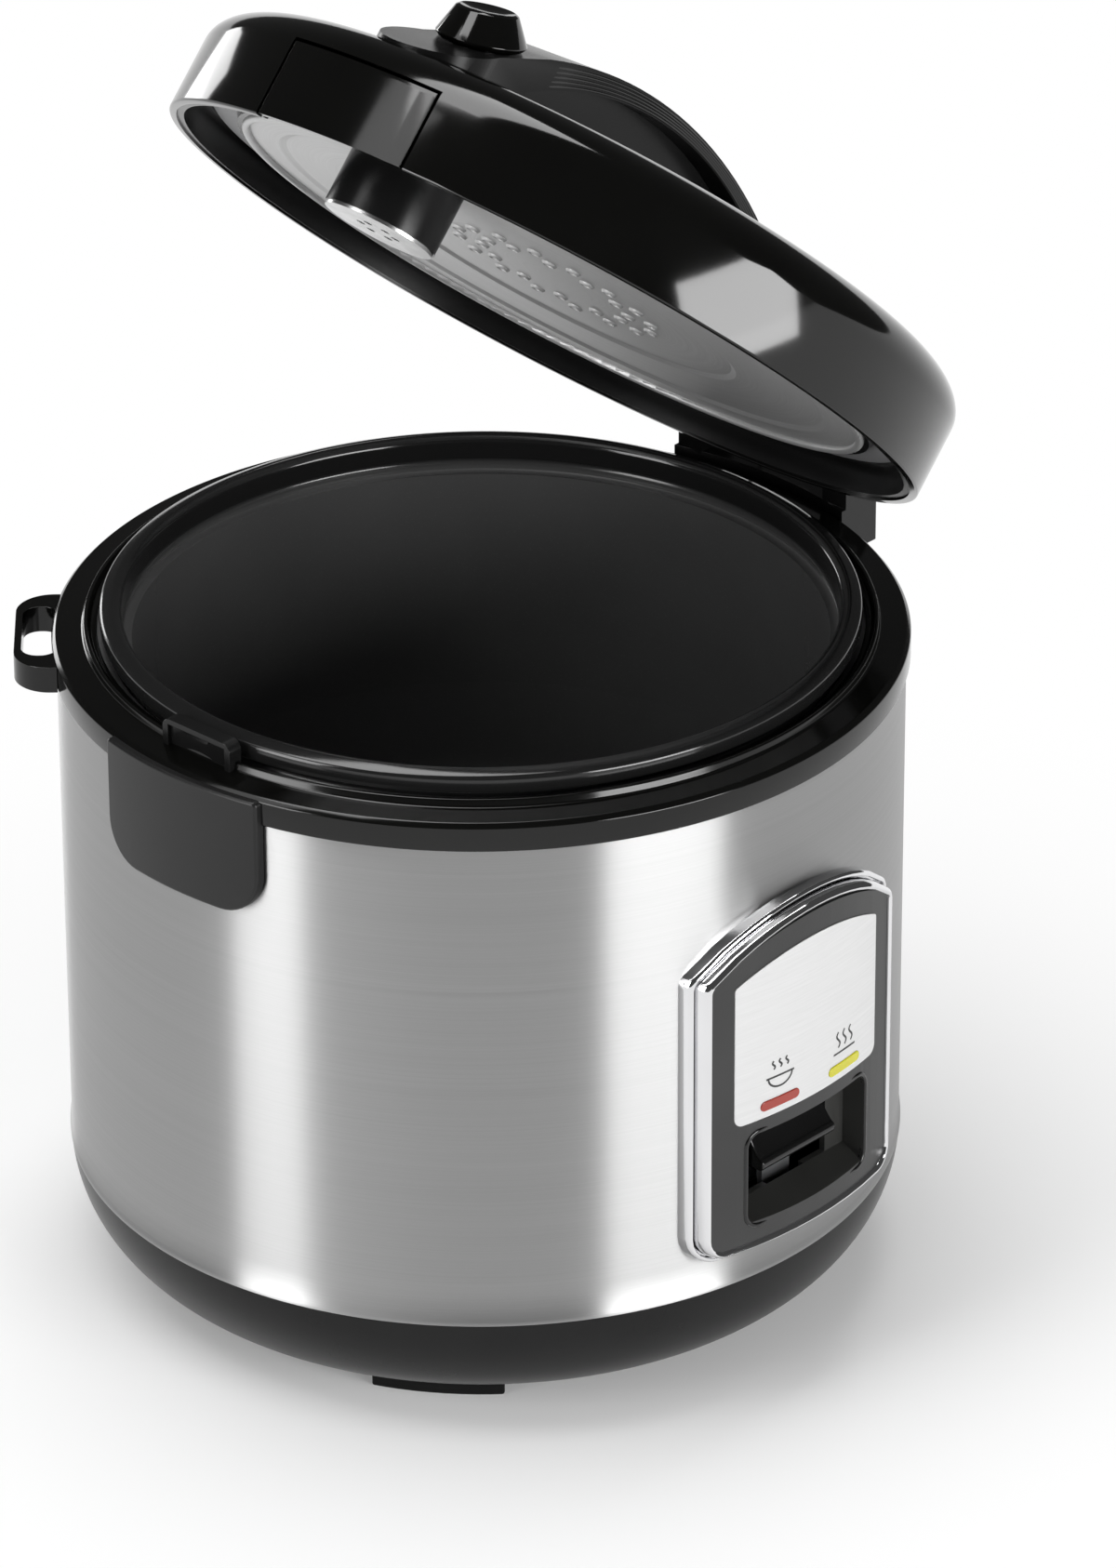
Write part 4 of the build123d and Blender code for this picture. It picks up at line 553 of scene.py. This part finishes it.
lens_red = moulded("lens_red", (0.27, 0.030, 0.018), (0.31, 0.035, 0.022), 0.2, 0.28, 0.03, 500.0,
                   Coat_Weight=0.2, Subsurface_Weight=0.15, Subsurface_Scale=0.002)
lens_yellow = moulded("lens_yellow", (0.47, 0.44, 0.012), (0.53, 0.50, 0.018), 0.2, 0.28, 0.03, 500.0,
                      Coat_Weight=0.2, Subsurface_Weight=0.15, Subsurface_Scale=0.002)
fit(softened("cook_lens", 0.3), lens_red, "body", "lens_red", "cook_lens")
fit(softened("warm_lens", 0.3), lens_yellow, "body", "lens_yellow", "warm_lens")

fit(softened("switch_paddle", 0.7), paddle_gloss, "lever", "paddle_gloss", "switch_paddle")


# Printed signs over the lamps: a bowl with steam for cooking, three waves of heat for keeping warm.
def printed(name, strokes, width, radius):
    """Flat printed lines on the panel from strokes of (x, z) points."""
    bm = bmesh.new()
    for stroke in strokes:
        rails = []
        for i, (x, z) in enumerate(stroke):
            before, after = Vector(stroke[max(i - 1, 0)]), Vector(stroke[min(i + 1, len(stroke) - 1)])
            along = (after - before).normalized() * width / 2
            rails.append((bm.verts.new(on_front(x - along.y, z + along.x, radius)),
                          bm.verts.new(on_front(x + along.y, z - along.x, radius))))
        for (a, b), (c, d) in zip(rails, rails[1:]):
            bm.faces.new((a, b, d, c))
    return piece(name, bm, BODY)


def wave(x, low, high, swing):
    """One rising wave of steam or heat."""
    return [(x + swing * math.sin(k / 10 * math.tau), low + (high - low) * k / 10) for k in range(11)]


ink = moulded("label_ink", (0.02, 0.02, 0.02), (0.03, 0.03, 0.03), 0.4, 0.5, 0.02)
cook_sign = [arc((-14.0, 109.0), (4.6, 3.6), 180, 360, 14), [(-19.4 + 1.2 * k, 109.0) for k in range(10)]]
cook_sign += [wave(-14.0 + 2.6 * k, 111.6, 114.4, 0.5) for k in (-1, 0, 1)]
warm_sign = [wave(14.0 + 3.0 * k, 107.4, 112.6, 0.8) for k in (-1, 0, 1)]
warm_sign += [[(8.8 + 1.3 * k, 105.6) for k in range(9)]]
LINE_WIDTH, PRINT_RADIUS = 0.65, 132.04
signs = printed("printed_signs", cook_sign + warm_sign, LINE_WIDTH, PRINT_RADIUS)
fit(signs, ink, "body", "panel_charcoal")

# Lid cover: gloss black moulded dome with an upright skirt, a tight shoulder and a shallow crown. The
# latch button fills a window in the skirt, and the vent's tube comes up through the crown.
LID_TILT = math.radians(42.75)
LID_CENTRE = (0.026797, 0, 0.298665)
LID = Matrix.Translation(LID_CENTRE) @ Matrix.Rotation(LID_TILT, 4, "Y")
SKIRT_HIGH, CROWN_HIGH, CROWN_RADIUS = 22.3, 44.0, 705.0
SHOULDER = (100.0, SKIRT_HIGH)
SHOULDER_OUTER, SHOULDER_INNER, COVER_WALL = (22.5, 14.2), (20.0, 11.7), 2.5


def dome(radius):
    """Height of the lid's crown in its own frame."""
    return CROWN_HIGH - (CROWN_RADIUS - math.sqrt(CROWN_RADIUS ** 2 - radius ** 2))


lid_gloss = moulded("lid_gloss", (0.0015, 0.0015, 0.0013), (0.0025, 0.0025, 0.0022), 0.07, 0.10, 0.008, 600.0)
cover_outer = rounded([(119.0, 0.0), (122.5, 0.0, 0.7), (122.5, SKIRT_HIGH)], 3)[1:-1]
cover_outer += arc(SHOULDER, SHOULDER_OUTER, 0, 10.14, 2) + arc(SHOULDER, SHOULDER_OUTER, 14, 76.6, 16)
cover_outer += [(r, dome(r)) for r in (100, 92, 84, 74, 64, 52, 40, 28, 16, 6, 0)]
cover_inner = [(r, dome(r) - COVER_WALL) for r in (0, 20, 40, 60, 80, 100)]
cover_inner += arc(SHOULDER, SHOULDER_INNER, 70, 16, 8) + arc(SHOULDER, SHOULDER_INNER, 12.34, 0, 2)
cover_inner += [(120.0, 2.0), (120.0, 1.3), (120.0, 0.6), (120.0, 0.0)]
cover_section = cover_outer + cover_inner
cover_window = (111, 129, range(7), range(len(cover_section) - 1, len(cover_section) - 8, -1))
cover = turn("cover_dome", cover_section, 240, LID, [cover_window])
fit(cover, lid_gloss, "lid", "lid_gloss", "lid_cover")

# Latch button: the part of the skirt that is pressed to open the lid, moulded in the same gloss black.
# It rocks on a steel pin, with a fine seam round it.
fit(softened("latch_button", 0.45), lid_gloss, "latch", "lid_gloss", "latch_button")

# Lid underside: black moulded inner frame with the silicone seal, the pressed aluminium plate with a
# rolled edge, shallow steps and two rings of drip holes with raised collars, and the black vent with
# its pale steel strainer disc.
fit(softened("lid_inner", 0.5), frame_black, "lid", "frame_black", "lid_inner")
seal_silicone = moulded("seal_silicone", (0.20, 0.20, 0.205), (0.25, 0.25, 0.255), 0.46, 0.6, 0.1)
coat(seal_silicone, "seal_silicone", "lid_seal")
plate_aluminium, plate_tree, plate_skin = brushed(
    "plate_aluminium", (0.50, 0.50, 0.50), (0.45, 0.45, 0.45), 0.36, 0.40, 0.01, Metallic=0.5)
plate_at = node(plate_tree, "ShaderNodeTexCoord").outputs["Object"]
plate_local = node(plate_tree, "ShaderNodeMapping", {"vector_type": "TEXTURE"},
                   {"Location": LID_CENTRE, "Rotation": (0, LID_TILT, 0)}, {"Vector": plate_at})
plate_flat = node(plate_tree, "ShaderNodeVectorMath", {"operation": "MULTIPLY"}, {1: (1, 1, 0)},
                  {0: plate_local.outputs[0]})
plate_far = node(plate_tree, "ShaderNodeVectorMath", {"operation": "LENGTH"}, (), {0: plate_flat.outputs[0]})
plate_line = node(plate_tree, "ShaderNodeMath", {"operation": "MULTIPLY"}, {1: 1800.0},
                  {0: plate_far.outputs["Value"]})
plate_round = node(plate_tree, "ShaderNodeVectorMath", {"operation": "SCALE"}, {"Scale": 14.0},
                   {0: plate_flat.outputs[0]})
plate_place = node(plate_tree, "ShaderNodeCombineXYZ", (), (), {"X": plate_line.outputs[0]})
plate_sum = node(plate_tree, "ShaderNodeVectorMath", {"operation": "ADD"}, (),
                 {0: plate_place.outputs[0], 1: plate_round.outputs[0]})
plate_tree.links.new(plate_sum.outputs[0], plate_skin.inputs["Place"])
coat(plate_aluminium, "plate_aluminium", "lid_plate")
collar_profile = ((1.32, 8.5), (1.4, 7.7), (1.75, 7.5), (2.1, 7.7), (2.5, 8.35))
collar_sides = 14
collars = bmesh.new()
for ring, count in ((24.0, 12), (32.0, 16)):
    for k in range(count):
        spot = Vector((math.cos(math.tau * k / count), math.sin(math.tau * k / count), 0)) * ring
        rims = []
        for far, height in collar_profile:
            rim = arc((spot.x, spot.y), (far, far), 0, 360, collar_sides)[:-1]
            rims.append([collars.verts.new(Vector((x, y, height)) * MM) for x, y in rim])
        for here, there in zip(rims, rims[1:]):
            for n in range(collar_sides):
                m = (n + 1) % collar_sides
                collars.faces.new((here[n], here[m], there[m], there[n]))
fit(piece("drip_collars", collars, LID, 60), plate_aluminium, "lid", "plate_aluminium")
coat(frame_black, "frame_black", "vent_body")
vent_steel = metal("vent_steel", (0.70, 0.70, 0.70), (0.6, 0.6, 0.6), 0.2, 0.3, 200.0)
coat(vent_steel, "vent_steel", "vent_disc")

# Handle: satin black moulded bridge along the lid's crown, with a hollow for the fingers on either
# side of a middle web and fine ribs on its flanks. At the front it runs out into a round tongue that
# the steam cap stands on.
handle_satin = moulded("handle_satin", (0.004, 0.004, 0.004), (0.006, 0.006, 0.006), 0.22, 0.28, 0.04, 1500.0,
                       Specular_IOR_Level=0.15)
fit(softened("lid_handle", 1.2), handle_satin, "lid", "handle_satin", "lid_handle")


def arch_through(start, middle, end):
    """Height of the circle through three (x, h) points, as a function of x."""
    (ax, ay), (bx, by), (cx, cy) = start, middle, end
    twice = 2 * (ax * (by - cy) + bx * (cy - ay) + cx * (ay - by))
    a, b, c = ax * ax + ay * ay, bx * bx + by * by, cx * cx + cy * cy
    mx = (a * (by - cy) + b * (cy - ay) + c * (ay - by)) / twice
    my = (a * (cx - bx) + b * (ax - cx) + c * (bx - ax)) / twice
    radius = math.hypot(ax - mx, ay - my)
    return lambda x: my + math.sqrt(radius ** 2 - (x - mx) ** 2)


bridge_top = arch_through((-67.0, 54.95), (0, 66.0), (92.0, 38.0))
bridge_under = arch_through((80.0, 38.0), (2.0, 61.4), (-70.0, 43.0))
HANDLE_HALF, RIB_START, RIB_LENGTH, RIB_STEPS, RIB_FADE, RIB_SUNK = 15.0, -66.0, 142.0, 40, 8, 0.05
rib_profile = ((-0.45, 0.0), (-0.2, 0.35), (0.2, 0.35), (0.45, 0.0))
ribs = bmesh.new()
for out in (-1, 1):
    for share in (0.22, 0.38, 0.54, 0.70, 0.86):
        rails = []
        for k in range(RIB_STEPS + 1):
            x = RIB_START + RIB_LENGTH * k / RIB_STEPS
            swell = min(1.0, k / RIB_FADE, (RIB_STEPS - k) / RIB_FADE)
            h = bridge_top(x) + (bridge_under(x) - bridge_top(x)) * share
            rail = [(out * (HANDLE_HALF + lift * swell - RIB_SUNK), h + up) for up, lift in rib_profile]
            rails.append([ribs.verts.new(Vector((x, y, z)) * MM) for y, z in rail])
        for here, there in zip(rails, rails[1:]):
            for n in range(len(rib_profile) - 1):
                ribs.faces.new((here[n], here[n + 1], there[n + 1], there[n]))
fit(piece("handle_ribs", ribs, LID, 60), lid_gloss, "lid", "handle_satin")

# Steam cap: gloss black moulded cone with a chamfered foot and a shallow dished top. Its stem is pushed
# into the vent's elbow, square to the handle's front slope, and pulls out for washing.
CAP_LEAN = math.radians(-23.5)
SEAT = LID @ Matrix.Translation((-0.080, 0, 0.0493)) @ Matrix.Rotation(CAP_LEAN, 4, "Y")
cap_section = rounded([
    (0, 9.3), (5.0, 9.6), (8.2, 10.5, 0.5), (9.3, 9.9, 0.6), (13.5, 1.7, 0.5), (12.4, 0.45, 0.3),
    (8.6, 0.45), (8.6, -9.6, 0.5), (5.0, -9.6), (5.0, 2.4), (0, 2.4)], 4)
fit(turn("cap_cone", cap_section, 96, SEAT), lid_gloss, "cap", "handle_satin", "steam_cap")

# Hinge arms: two black moulded arms from the lid's rim, which end in knuckles on the hinge pin.
# They are fixed to the lid and turn with it.
fit(softened("lid_hinge_arms", 0.8), frame_black, "lid", "frame_black", "lid_hinge_arms")

# Floor, lights and camera: a seamless white floor, a tall softbox at the left and a broad one at the
# right, small ones high at the left and behind, a long one overhead, and a dim even room.
bpy.ops.mesh.primitive_plane_add(size=14.0, location=(0, 0, 0))
floor = bpy.context.object
floor.name = "studio_floor"
floor_white = bpy.data.materials.new("floor_white")
floor_white.use_nodes = True
floor_tree = floor_white.node_tree
floor_shader = floor_tree.nodes["Principled BSDF"]
floor_shader.inputs["Base Color"].default_value = (0.86, 0.86, 0.86, 1)
floor_shader.inputs["Roughness"].default_value = 0.9
floor_shader.inputs["Specular IOR Level"].default_value = 0.0
# Away from the object the floor is plain white to the camera and in mirrors; near it the shadow shows.
floor_glow = node(floor_tree, "ShaderNodeEmission", (), {"Color": (1, 1, 1, 1), "Strength": 1.0})
floor_at = node(floor_tree, "ShaderNodeTexCoord").outputs["Object"]
floor_far = node(floor_tree, "ShaderNodeVectorMath", {"operation": "LENGTH"}, (), {0: floor_at})
floor_fade = node(floor_tree, "ShaderNodeMapRange", {"interpolation_type": "SMOOTHSTEP"},
                  {"From Min": 0.0, "From Max": 0.39}, {"Value": floor_far.outputs["Value"]})
floor_path = node(floor_tree, "ShaderNodeLightPath")
floor_seen = node(floor_tree, "ShaderNodeMath", {"operation": "ADD"}, (),
                  {0: floor_path.outputs["Is Camera Ray"], 1: floor_path.outputs["Is Glossy Ray"]})
floor_any = node(floor_tree, "ShaderNodeMath", {"operation": "ADD", "use_clamp": True}, (),
                 {0: floor_seen.outputs[0], 1: floor_path.outputs["Is Transmission Ray"]})
floor_part = node(floor_tree, "ShaderNodeMath", {"operation": "MULTIPLY"}, (),
                  {0: floor_any.outputs[0], 1: floor_fade.outputs[0]})
floor_both = node(floor_tree, "ShaderNodeMixShader", (), (),
                  {0: floor_part.outputs[0], 1: floor_shader.outputs[0], 2: floor_glow.outputs[0]})
floor_tree.links.new(floor_both.outputs[0], floor_tree.nodes["Material Output"].inputs["Surface"])
floor.data.materials.append(floor_white)

world = bpy.data.worlds.new("studio_room")
bpy.context.scene.world = world
world.use_nodes = True
world.node_tree.nodes["Background"].inputs["Color"].default_value = (1, 1, 1, 1)
world.node_tree.nodes["Background"].inputs["Strength"].default_value = 0.06

AZIMUTH = math.radians(-46.944)
TO_CAMERA = Vector((math.sin(AZIMUTH), -math.cos(AZIMUTH), 0))
TO_RIGHT = Vector((math.cos(AZIMUTH), math.sin(AZIMUTH), 0))
MIDDLE_HEIGHT = 0.15


def softbox(name, turned, height, distance, wide, tall, watts):
    """An area light at an angle from the camera's side, in degrees, aimed at the middle of the object."""
    lamp = bpy.data.lights.new(name, "AREA")
    lamp.shape = "RECTANGLE"
    lamp.size, lamp.size_y, lamp.energy = wide, tall, watts
    made = bpy.data.objects.new(name, lamp)
    bpy.context.scene.collection.objects.link(made)
    a, e = math.radians(turned), math.radians(height)
    away = (TO_CAMERA * math.cos(a) + TO_RIGHT * math.sin(a)) * math.cos(e) + Vector((0, 0, math.sin(e)))
    made.location = Vector((0, 0, MIDDLE_HEIGHT)) + away * distance
    made.rotation_euler = (-away).to_track_quat("-Z", "Y").to_euler()


softbox("left_box", -54, 15, 1.3, 0.44, 0.90, 8.3)
softbox("left_high_box", -70, 48, 1.5, 0.44, 0.45, 1.25)
softbox("right_box", 46, 10, 1.5, 0.84, 0.58, 17.6)
softbox("back_box", -143, 4, 1.5, 0.40, 0.42, 2.6)
softbox("top_box", -135, 80, 2.6, 3.4, 1.1, 70.0)

CAMERA_DISTANCE, CAMERA_RISE, CAMERA_ROLL = 2.6302, math.radians(28.273), math.radians(-0.231)
AIM_HEIGHT, AIM_ASIDE = 0.15091, 0.02236
lens = bpy.data.cameras.new("studio_camera")
lens.lens = 203.45
lens.sensor_width = 36.0
camera = bpy.data.objects.new("studio_camera", lens)
bpy.context.scene.collection.objects.link(camera)
aim = Vector((0, 0, AIM_HEIGHT)) + TO_RIGHT * AIM_ASIDE
back = TO_CAMERA * math.cos(CAMERA_RISE) + Vector((0, 0, math.sin(CAMERA_RISE)))
camera.location = aim + back * CAMERA_DISTANCE
upward = back.cross(TO_RIGHT).normalized()
across = TO_RIGHT * math.cos(CAMERA_ROLL) + upward * math.sin(CAMERA_ROLL)
over = upward * math.cos(CAMERA_ROLL) - TO_RIGHT * math.sin(CAMERA_ROLL)
camera.rotation_euler = Matrix((across, over, back)).transposed().to_euler()
bpy.context.scene.camera = camera
bpy.context.scene.view_settings.view_transform = "Standard"
